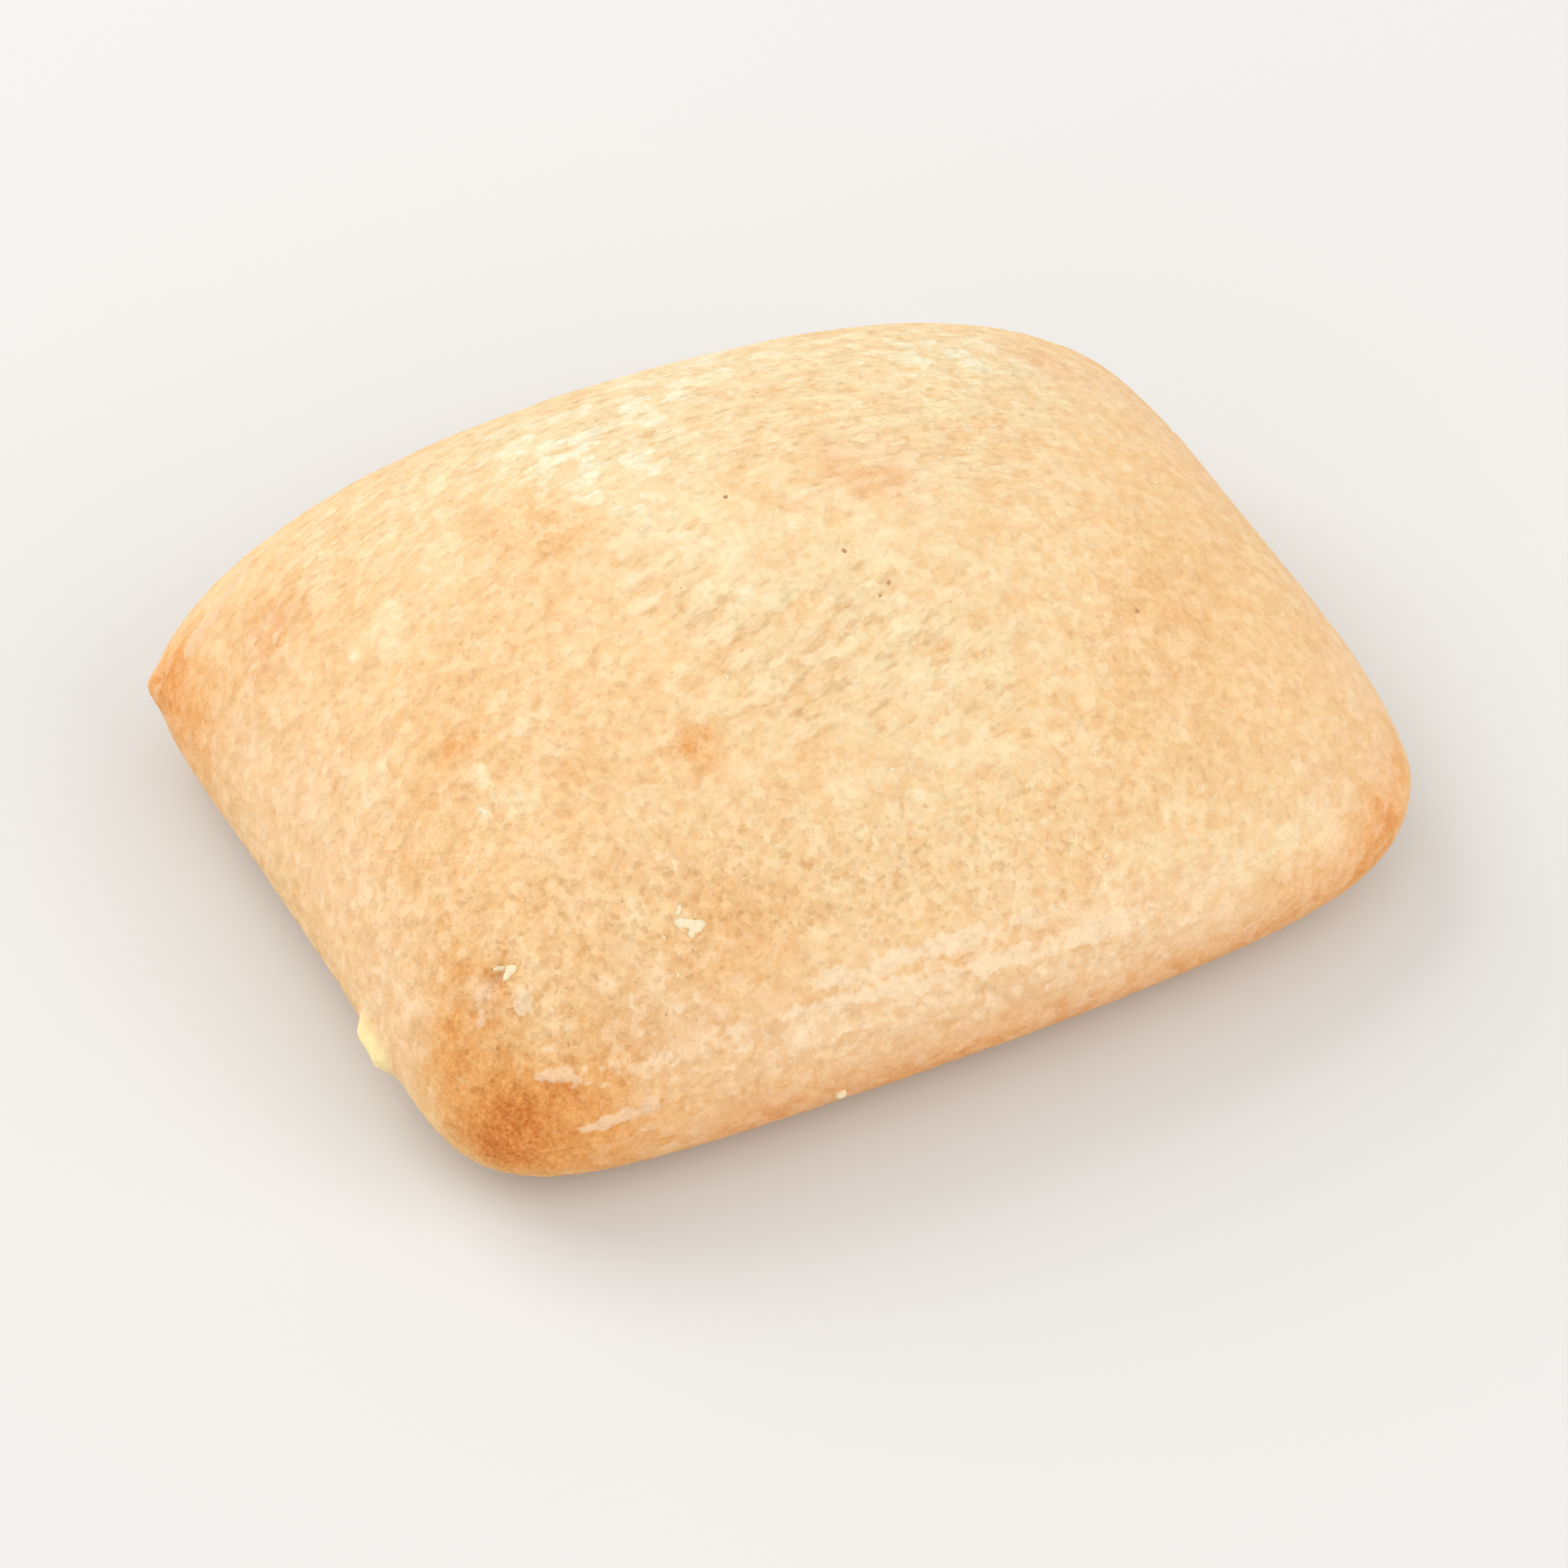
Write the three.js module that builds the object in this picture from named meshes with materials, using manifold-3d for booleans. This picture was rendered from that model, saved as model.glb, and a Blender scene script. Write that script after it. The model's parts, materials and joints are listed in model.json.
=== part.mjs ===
// Mini ciabatta: one baked roll, an oblong cushion of crust that rests on its flat base.
// Units are millimetres. X runs along the roll, -Y is its near long side and Z points up.
// The origin is the middle of the base.
import * as THREE from "three";
import { ImprovedNoise } from "three/addons/math/ImprovedNoise.js";
import { mergeVertices } from "three/addons/utils/BufferGeometryUtils.js";
import Module from "manifold-3d";

// Main sizes: between the end walls, between the side walls, base to crown, base to widest line
const LENGTH = 95;
const WIDTH = 69.3;
const HEIGHT = 36.2;
const BELLY = 8.75;
// Share of the belly height that the rounded underside would reach down to, past the flat base
const UNDERSIDE_DEPTH = 1.2;

// Plan: half the shift of the far side against the near one, and half its extra length;
// the right end is narrower
const SKEW = -2.15;
const FAR_LENGTHENING = 0.2;
const RIGHT_WIDENING = -1.25;
// Outward bow of each wall at its middle
const BOW = { left: -1.3, right: -0.8, near: 2.7, far: 1.05 };

// Dome: the crown is set back towards the far side, and the rise is less to the right and in front
const CROWN_SETBACK = 2.8;
const RISE_TILT = { x: -0.06, y: 0.05 };

// Exponents of the rounded outlines: 2 is an ellipse, more is squarer
const BELLY_SQUARENESS = 6.6;
const CROWN_SQUARENESS = 2.13;
const DOME_FULLNESS = 1.85;
const UNDERSIDE_FULLNESS = 3.2;
const CORNER_SQUARENESS = { nearLeft: 1.45, nearRight: -0.7, farRight: 0.8, farLeft: 0.35 };
const SIDE_FULLNESS = { near: 0.3, far: 0.5, farLeft: -0.22 };
// The corners round off above the belly: a low power does so soon, the onset keeps the start gentle
const ROUNDING_POWER = 0.4;
const ROUNDING_ONSET = 0.1;
const SIDES = {
  near: [0, -1],
  far: [0, 1],
  nearLeft: [-1, -1],
  nearRight: [1, -1],
  farRight: [1, 1],
  farLeft: [-1, 1],
};
// How narrowly the value of a side or corner is kept to that side or corner
const SIDE_FOCUS = 4;

// Crust relief: broad swells of the dough and the crags that they carry
const SWELLS = [
  { size: 23, height: 0.55 },
  { size: 7.5, height: 0.3 },
  { size: 3.8, height: 0.2 },
];
// The relief fades out between these heights, so that the base rim stays even
const RELIEF_FADE = { from: 1, to: 5 };

// Folds and scuffs that stand up along the crust: longitude and latitude of both ends in degrees
const FOLDS = [
  { from: [-122.4, 18.5], to: [-64, 14.5], width: 1.7, height: 0.45 },
  { from: [-117, 14.4], to: [-74, 9.6], width: 1.5, height: 0.4 },
  { from: [-110, 7.6], to: [-66, 5.6], width: 1.5, height: 0.3 },
  { from: [-130.4, 1.6], to: [-123.2, 4.8], width: 1.3, height: 0.4 },
  { from: [-132.8, 8.8], to: [-128.4, 10], width: 1.3, height: 0.35 },
  { from: [143.2, 11.2], to: [141.6, 18.4], width: 1.3, height: 0.35 },
];
const FOLD_STEPS = 24;

// Loose flakes, crumbs and nubs of crust: place and turn in degrees, height above the crust
const FLAKES = [
  { at: [-121.6, 27.6], length: 3.2, width: 2.2, height: 0.6, turn: 20 },
  { at: [-127.6, 28.4], length: 2.6, width: 1.6, height: 0.35, turn: 70 },
  { at: [-133.2, 27.6], length: 2.8, width: 1.8, height: 0.35, turn: -20 },
  { at: [-136, 17.2], length: 2.6, width: 1.7, height: 0.4, turn: 40 },
  { at: [-153.2, 38], length: 1.8, width: 1.3, height: 0.35, turn: 0 },
  { at: [-150.4, 35.6], length: 2, width: 1.3, height: 0.35, turn: 80 },
  { at: [-147.6, 39.6], length: 1.7, width: 1.2, height: 0.3, turn: 30 },
  { at: [168.4, 42.4], length: 2.4, width: 1.4, height: 0.35, turn: 15 },
  { at: [-107.2, -15.2], length: 2.2, width: 1.2, height: 0.5, turn: 10 },
  { at: [-154.6, -10], length: 4.8, width: 2.6, height: 1.3, turn: -32 },
  { at: [140.8, -1.5], length: 3.4, width: 2.8, height: 0.9, turn: 0 },
];
// Torn blister: a raised cap with a hollow in it
const BLISTER = { at: [-138.4, 19.6], length: 4.6, width: 3.6, height: 0.8, turn: 60 };
const BLISTER_HOLLOW = { at: [-138.6, 20.4], length: 2.6, width: 1.8, height: 1.1, turn: 60 };
// A flake's outline swings in and out by this share, three times round
const FLAKE_UNEVENNESS = 0.16;
const FLAKE_LOBES = 3;

// Mesh fineness: cells along X, Y and Z of the box that is blown up into the roll, sides of a flake
const CELLS = { x: 44, y: 33, z: 16 };
// Under 1 this crowds the cells of the walls towards the top, where the crust shows most
const WALL_CROWDING = 0.72;
const FLAKE_SIDES = 12;
const FLAKE_RINGS = 6;
const MERGE_DISTANCE = 1e-4;
const NORMAL_STEP = 1e-3;

const CRUST_LOOK = { color: "#f3cf9c", roughness: 0.82, metalness: 0 };

const noise = new ImprovedNoise();
const wasm = await Module();
wasm.setup();

// Unit direction from the middle of the belly plane.
function directionAt([longitude, latitude]) {
  const lon = THREE.MathUtils.degToRad(longitude);
  const lat = THREE.MathUtils.degToRad(latitude);
  return new THREE.Vector3(Math.cos(lat) * Math.cos(lon), Math.cos(lat) * Math.sin(lon), Math.sin(lat));
}

// 1 where a direction faces a side or corner of the plan, falling to 0 away from it.
function facing(direction, [sideX, sideY]) {
  const across = Math.hypot(direction.x, direction.y) * Math.hypot(sideX, sideY);
  const towards = across > 0 ? (direction.x * sideX + direction.y * sideY) / across : 0;
  return Math.max(towards, 0) ** SIDE_FOCUS;
}

// Sum of the named side values, each weighted by how far the direction faces its side.
function sideValue(direction, values) {
  let sum = 0;
  for (const [side, value] of Object.entries(values)) {
    sum += value * facing(direction, SIDES[side]);
  }
  return sum;
}

// Length of a two-part vector by the rule of a superellipse.
function superLength(first, second, exponent) {
  return (Math.abs(first) ** exponent + Math.abs(second) ** exponent) ** (1 / exponent);
}

// Point of the smooth crust in a direction: a superellipsoid, then the roll's own plan and heights.
function crustPoint(direction) {
  const lift = direction.z;
  const rise = Math.max(lift, 0);
  const beltSquareness = BELLY_SQUARENESS + sideValue(direction, CORNER_SQUARENESS);
  const rounding = (Math.hypot(rise, ROUNDING_ONSET) - ROUNDING_ONSET) ** ROUNDING_POWER;
  const squareness = THREE.MathUtils.lerp(beltSquareness, CROWN_SQUARENESS, rounding);
  const domeFullness = DOME_FULLNESS + (1 - rise) * sideValue(direction, SIDE_FULLNESS);
  const fullness = lift > 0 ? domeFullness : UNDERSIDE_FULLNESS;
  const plan = superLength(direction.x, direction.y, squareness);
  const reach = 1 / superLength(plan, lift, fullness);
  const u = direction.x * reach;
  const v = direction.y * reach;
  const w = lift * reach;

  const endBow = u > 0 ? BOW.right : -BOW.left;
  const sideBow = v > 0 ? BOW.far : -BOW.near;
  const x = u * (LENGTH / 2 + FAR_LENGTHENING * v) + SKEW * v + (1 - v * v) * u * u * endBow;
  const y = v * (WIDTH / 2 + RIGHT_WIDENING * u) + (1 - u * u) * v * v * sideBow;
  const setback = CROWN_SETBACK * Math.max(w, 0);
  const domeRise = (HEIGHT - BELLY) * (1 + RISE_TILT.x * u + RISE_TILT.y * v);
  const z = BELLY + (w > 0 ? w * domeRise : w * BELLY * UNDERSIDE_DEPTH);
  return new THREE.Vector3(x, y + setback, z);
}

// Outward unit normal of the smooth crust in a direction, and the tangent that runs round the roll.
function crustAxes(direction) {
  const round = new THREE.Vector3(-direction.y, direction.x, 0).normalize();
  const up = direction.clone().cross(round);
  const here = crustPoint(direction);
  const aside = crustPoint(direction.clone().addScaledVector(round, NORMAL_STEP).normalize()).sub(here);
  const above = crustPoint(direction.clone().addScaledVector(up, NORMAL_STEP).normalize()).sub(here);
  const normal = aside.clone().cross(above).normalize();
  return { here, normal, tangent: aside.normalize() };
}

// Points along the crust between two places.
function crustPath(from, to) {
  const points = [];
  for (let step = 0; step <= FOLD_STEPS; step += 1) {
    const share = step / FOLD_STEPS;
    const longitude = THREE.MathUtils.lerp(from[0], to[0], share);
    const latitude = THREE.MathUtils.lerp(from[1], to[1], share);
    points.push(crustPoint(directionAt([longitude, latitude])));
  }
  return points;
}

const foldPaths = FOLDS.map((fold) => ({ ...fold, points: crustPath(fold.from, fold.to) }));

// Height of the crust's relief at a point of the smooth crust.
function reliefAt(point) {
  let height = 0;
  for (const swell of SWELLS) {
    height += swell.height * noise.noise(point.x / swell.size, point.y / swell.size, point.z / swell.size);
  }
  for (const fold of foldPaths) {
    const nearest = Math.min(...fold.points.map((other) => other.distanceTo(point)));
    height += fold.height * Math.exp(-((nearest / fold.width) ** 2));
  }
  return height * THREE.MathUtils.smoothstep(point.z, RELIEF_FADE.from, RELIEF_FADE.to);
}

// Roll with its relief and a rounded underside: a box grid pushed out to the crust.
function rollGeometry() {
  const box = new THREE.BoxGeometry(2, 2, 2, CELLS.x, CELLS.y, CELLS.z);
  box.deleteAttribute("normal");
  box.deleteAttribute("uv");
  const geometry = mergeVertices(box, MERGE_DISTANCE);
  const position = geometry.attributes.position;
  const corner = new THREE.Vector3();
  for (let i = 0; i < position.count; i += 1) {
    corner.fromBufferAttribute(position, i);
    corner.z = 2 * ((corner.z + 1) / 2) ** WALL_CROWDING - 1;
    const angles = corner.toArray().map((side) => Math.tan((side * Math.PI) / 4));
    const point = crustPoint(corner.fromArray(angles).normalize());
    position.setXYZ(i, point.x, point.y, point.z);
  }
  geometry.computeVertexNormals();
  const normal = new THREE.Vector3();
  const point = new THREE.Vector3();
  for (let i = 0; i < position.count; i += 1) {
    point.fromBufferAttribute(position, i);
    normal.fromBufferAttribute(geometry.attributes.normal, i);
    point.addScaledVector(normal, reliefAt(point));
    position.setXYZ(i, point.x, point.y, point.z);
  }
  return geometry;
}

// Flat lens with an uneven outline, half sunk in the crust.
function flakeGeometry({ at, length, width, height, turn }) {
  const geometry = new THREE.SphereGeometry(1, FLAKE_SIDES, FLAKE_RINGS);
  geometry.rotateX(Math.PI / 2);
  const position = geometry.attributes.position;
  for (let i = 0; i < position.count; i += 1) {
    const angle = Math.atan2(position.getY(i), position.getX(i));
    const swing = 1 + FLAKE_UNEVENNESS * Math.cos(FLAKE_LOBES * angle + at[0]);
    position.setXY(i, position.getX(i) * swing, position.getY(i) * swing);
  }
  geometry.scale(length / 2, width / 2, height);
  geometry.rotateZ(THREE.MathUtils.degToRad(turn));
  const { here, normal, tangent } = crustAxes(directionAt(at));
  const placed = new THREE.Matrix4().makeBasis(tangent, normal.clone().cross(tangent), normal);
  placed.setPosition(here.addScaledVector(normal, reliefAt(here)));
  return geometry.applyMatrix4(placed);
}

// Block below the base plane.
function underBaseGeometry() {
  return new THREE.BoxGeometry(2 * LENGTH, 2 * WIDTH, 2 * BELLY).translate(0, 0, -BELLY);
}

// Closed solid of a geometry, for joins and cuts.
function solidOf(geometry) {
  const bare = geometry.clone();
  bare.deleteAttribute("normal");
  bare.deleteAttribute("uv");
  const merged = mergeVertices(bare, MERGE_DISTANCE);
  const vertProperties = Float32Array.from(merged.attributes.position.array);
  const triVerts = Uint32Array.from(merged.index.array);
  return new wasm.Manifold(new wasm.Mesh({ numProp: 3, vertProperties, triVerts }));
}

// Geometry of a solid, with the middle of its base at the origin.
function geometryOf(solid) {
  const mesh = solid.getMesh();
  const geometry = new THREE.BufferGeometry();
  geometry.setAttribute("position", new THREE.BufferAttribute(mesh.vertProperties, 3));
  geometry.setIndex(new THREE.BufferAttribute(mesh.triVerts, 1));
  geometry.computeBoundingBox();
  const middle = geometry.boundingBox.getCenter(new THREE.Vector3());
  geometry.translate(-middle.x, -middle.y, -geometry.boundingBox.min.z);
  geometry.computeVertexNormals();
  return geometry;
}

function ciabatta() {
  let solid = solidOf(rollGeometry());
  for (const flake of [...FLAKES, BLISTER]) {
    solid = solid.add(solidOf(flakeGeometry(flake)));
  }
  solid = solid.subtract(solidOf(flakeGeometry(BLISTER_HOLLOW)));
  solid = solid.subtract(solidOf(underBaseGeometry()));
  const mesh = new THREE.Mesh(geometryOf(solid), new THREE.MeshStandardMaterial(CRUST_LOOK));
  mesh.name = "ciabatta";
  return mesh;
}

const roll = new THREE.Group();
roll.add(ciabatta());

export default roll;
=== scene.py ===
"""Looks of a mini ciabatta: one baked roll of pale, floury crust on a plain studio floor.

Sizes in the classes are millimetres, and meshes are written in metres in the frame of the CAD part:
X runs along the roll, -Y is its near long side, Z points up and the origin is the middle of the base.
Places on the crust are a longitude and a latitude in degrees, seen from the middle of the belly plane.
"""

import json
import logging
import math
from collections.abc import Iterable, Mapping
from dataclasses import dataclass, field
from enum import Enum

import bpy
import numpy as np
from mathutils import Matrix, Vector

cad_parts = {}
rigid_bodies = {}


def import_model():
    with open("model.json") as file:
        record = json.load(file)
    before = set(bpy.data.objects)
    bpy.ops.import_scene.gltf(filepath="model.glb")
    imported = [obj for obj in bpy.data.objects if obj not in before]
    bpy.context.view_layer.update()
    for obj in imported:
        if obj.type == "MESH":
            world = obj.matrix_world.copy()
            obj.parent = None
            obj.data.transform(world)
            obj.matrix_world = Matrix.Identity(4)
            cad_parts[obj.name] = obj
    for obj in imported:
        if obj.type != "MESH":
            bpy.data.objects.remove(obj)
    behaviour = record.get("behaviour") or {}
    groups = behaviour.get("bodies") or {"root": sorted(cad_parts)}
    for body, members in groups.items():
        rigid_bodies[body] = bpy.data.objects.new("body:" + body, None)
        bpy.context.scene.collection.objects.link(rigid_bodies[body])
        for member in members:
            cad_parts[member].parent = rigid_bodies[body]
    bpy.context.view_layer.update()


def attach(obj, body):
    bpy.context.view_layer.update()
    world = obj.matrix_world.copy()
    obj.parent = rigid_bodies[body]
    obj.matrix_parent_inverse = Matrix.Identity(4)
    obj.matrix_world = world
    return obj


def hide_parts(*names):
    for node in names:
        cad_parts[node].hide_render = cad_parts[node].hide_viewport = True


LOG = logging.getLogger("mini_ciabatta")

MM = 0.001
IMAGE_SIZE = 1932
BODY = "root"
CAD_NODE = "ciabatta"

# Keeps a division safe where a length can be zero
TINY = 1e-9
# Value that Blender's noise varies around
NOISE_MIDDLE = 0.5

Place = tuple[float, float]
Places = tuple[Place, ...]
Tree = bpy.types.NodeTree
Socket = bpy.types.NodeSocket

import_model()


class Side(Enum):
    """Sides and corners of the plan, as the way they face."""

    LEFT = (-1, 0)
    RIGHT = (1, 0)
    NEAR = (0, -1)
    FAR = (0, 1)
    NEAR_LEFT = (-1, -1)
    NEAR_RIGHT = (1, -1)
    FAR_RIGHT = (1, 1)
    FAR_LEFT = (-1, 1)


class Tone(Enum):
    """What varies over the crust, kept as attributes of its points."""

    RISE = "rise"
    LEVEL = "level"
    GRAIN = "grain"
    LENGTHWISE = "lengthwise"
    SLANTWISE = "slantwise"
    BROWNED = "browned"
    ROSY = "rosy"
    FLOURY = "floury"
    SCUFFED = "scuffed"
    BEADED = "beaded"
    CRUMB = "crumb"
    FLAKY = "flaky"


class Weave(Enum):
    """What the grain is drawn with: node type, its settings, inputs and the number of its output."""

    SWELLING = ("ShaderNodeTexNoise", {}, {"Scale": 1.0, "Detail": 2.0, "Roughness": 0.55}, 0)
    PLATED = ("ShaderNodeTexVoronoi", {}, {"Scale": 1.0}, 1)
    SEAMED = ("ShaderNodeTexVoronoi", {"feature": "DISTANCE_TO_EDGE"}, {"Scale": 1.0}, 0)


class Layer(Enum):
    """What the crust's colour and fine relief are mixed from."""

    MOTTLE = "broad mottling"
    BLUSH = "clouds where the crust stays rosy"
    PATCH = "soft patches"
    FLECK = "soft flecks"
    SPECKLE = "fine speckle"
    RAGGED = "what frays the edges of crags and scales"
    HEIGHT = "height of the grain"
    PLATING = "a shade for each crag"
    SEAMING = "distance from the seams between crags"
    DENTING = "height of the skin around its dents"
    SMALL_SCALE = "a shade for each small scale of skin"
    LARGE_SCALE = "a shade for each large scale of skin"
    DRAWN_OUT = "how far the crags are drawn out"
    DEEPEST = "depth of the deepest dents"
    CRAG = "flat tops of the crags"
    FLOUR_PATCH = "patches of flour"
    FLOUR_FLECK = "flecks of flour"
    PLATE = "a shade for each crag where the crust is grainy"
    FLAKE = "palest of the large scales"
    # Seams are painted shade only: dark lines between drawn-out crags, with no relief
    SEAM_REACH = "strength of the seams"
    SEAM_BREAK = "strength of the seams with their breaks"
    SEAM = "seams between drawn-out crags"
    # Dents sink the fine relief and also carry a painted shade
    DENT = "small dents"
    FLOURED = "crust under thick flour"
    BAKED = "browned crust"
    TOASTED = "speckle of the browned crust"


def linear(hex_colour: str) -> tuple[float, float, float, float]:
    """Turns an sRGB hex colour into the linear colour that the shaders take.

    Args:
        hex_colour: Six hex digits after a hash sign.

    Returns:
        Linear red, green, blue and a full alpha.
    """
    values = [int(hex_colour[i : i + 2], 16) / 255 for i in (1, 3, 5)]
    red, green, blue = (v / 12.92 if v <= 0.04045 else ((v + 0.055) / 1.055) ** 2.4 for v in values)
    return red, green, blue, 1.0


def add_node(
    tree: Tree,
    kind: str,
    inputs: Mapping[str | int, object] | None = None,
    **settings: object,
) -> bpy.types.Node:
    """Adds a node to a tree with its settings, values and links.

    Args:
        tree: Shader or geometry tree.
        kind: Blender's name of the node type.
        inputs: Values, or sockets to link from, by input name or number.
        settings: Properties of the node by name.

    Returns:
        The new node.
    """
    node = tree.nodes.new(kind)
    for name, value in settings.items():
        setattr(node, name, value)
    for key, value in (inputs or {}).items():
        if isinstance(value, Socket):
            tree.links.new(value, node.inputs[key])
        else:
            node.inputs[key].default_value = value
    return node


def smoothstep(values: np.ndarray, start: float, end: float) -> np.ndarray:
    """Eases values from 0 at start to 1 at end."""
    share = np.clip((values - start) / (end - start), 0, 1)
    return share * share * (3 - 2 * share)


def plain_object(name: str, data: bpy.types.ID) -> bpy.types.Object:
    """Puts a mesh, lamp or camera into the scene as an object at the origin.

    Args:
        name: Name of the object.
        data: What the object shows.

    Returns:
        The object.
    """
    made = bpy.data.objects.new(name, data)
    bpy.context.scene.collection.objects.link(made)
    return made


def mesh_of(name: str, points: np.ndarray, faces: list[tuple[int, ...]]) -> bpy.types.Mesh:
    """Makes a smooth-shaded mesh.

    Args:
        name: Name of the mesh.
        points: Points in millimetres, one row each.
        faces: Point numbers of each face, counter-clockwise from outside.

    Returns:
        The mesh, in metres.
    """
    mesh = bpy.data.meshes.new(name)
    mesh.from_pydata((points * MM).tolist(), [], faces)
    mesh.shade_smooth()
    mesh.update()
    return mesh


def apply_tree(target: bpy.types.Object, tree: Tree, values: Mapping[str, object]) -> None:
    """Runs a geometry tree on an object and keeps the result as its plain mesh.

    Args:
        target: Object to run on.
        tree: Geometry node tree.
        values: Values of the tree's inputs by name.
    """
    modifier = target.modifiers.new(tree.name, "NODES")
    modifier.node_group = tree
    for item in tree.interface.items_tree:
        if item.in_out == "INPUT" and item.name in values:
            modifier[item.identifier] = values[item.name]
    graph = bpy.context.evaluated_depsgraph_get()
    made = bpy.data.meshes.new_from_object(
        target.evaluated_get(graph), preserve_all_data_layers=True, depsgraph=graph
    )
    target.modifiers.remove(modifier)
    old = target.data
    target.data = made
    bpy.data.meshes.remove(old)
    made.name = target.name


def new_tree(name: str, inputs: Mapping[str, str]) -> tuple[Tree, bpy.types.Node]:
    """Starts a geometry tree with a geometry input and output.

    Args:
        name: Name of the tree.
        inputs: Socket type of each further input by name.

    Returns:
        The tree and its group input node.
    """
    tree = bpy.data.node_groups.new(name, "GeometryNodeTree")
    tree.interface.new_socket("Geometry", in_out="INPUT", socket_type="NodeSocketGeometry")
    for socket, kind in inputs.items():
        tree.interface.new_socket(socket, in_out="INPUT", socket_type=kind)
    tree.interface.new_socket("Geometry", in_out="OUTPUT", socket_type="NodeSocketGeometry")
    return tree, add_node(tree, "NodeGroupInput")


def end_tree(tree: Tree, given: bpy.types.Node, geometry: Socket) -> None:
    """Ends a geometry tree: makes instances real and sets the material.

    Args:
        tree: Geometry node tree.
        given: Its group input node, which has a material.
        geometry: Socket with the finished geometry.
    """
    whole = add_node(tree, "GeometryNodeRealizeInstances", {"Geometry": geometry}).outputs[0]
    finish = {"Geometry": whole, "Material": given.outputs["Material"]}
    dressed = add_node(tree, "GeometryNodeSetMaterial", finish)
    add_node(tree, "NodeGroupOutput", {0: dressed.outputs[0]})


def new_material(name: str) -> tuple[bpy.types.Material, Tree, Socket]:
    """Starts a material on Object coordinates.

    Args:
        name: Name of the material.

    Returns:
        The material, its empty tree and the socket with the place on the piece.
    """
    made = bpy.data.materials.new(name)
    made.use_nodes = True
    made.node_tree.nodes.clear()
    position = add_node(made.node_tree, "ShaderNodeTexCoord").outputs["Object"]
    return made, made.node_tree, position


def end_material(tree: Tree, relief: Socket, values: Mapping[str, object]) -> None:
    """Ends a material with its shader over a fine relief.

    Args:
        tree: The material's tree.
        relief: Socket with the relief's height in metres.
        values: Values of the shader's inputs, or sockets to link from, by name.
    """
    normal = add_node(tree, "ShaderNodeBump", {"Height": relief, "Strength": 1.0, "Distance": 1.0})
    shader = add_node(tree, "ShaderNodeBsdfPrincipled", {**values, "Normal": normal.outputs[0]})
    add_node(tree, "ShaderNodeOutputMaterial", {"Surface": shader.outputs[0]})


def weighed_sum(
    tree: Tree, start: Socket | float, parts: Iterable[tuple[Socket, Socket | float]]
) -> Socket | float:
    """Adds up what some sockets hold, each times its gain.

    Args:
        tree: Shader or geometry tree.
        start: What the sum starts from.
        parts: Sockets and their gains.

    Returns:
        Socket with the sum, or the start if there are no parts.
    """
    total = start
    for source, gain in parts:
        inputs = {0: source, 1: gain, 2: total}
        total = add_node(tree, "ShaderNodeMath", inputs, operation="MULTIPLY_ADD").outputs[0]
    return total


def unit_directions(longitude: np.ndarray, latitude: np.ndarray) -> np.ndarray:
    """Unit directions, one row each, from longitudes and latitudes in radians."""
    level = np.cos(latitude)
    return np.column_stack([level * np.cos(longitude), level * np.sin(longitude), np.sin(latitude)])


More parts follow.
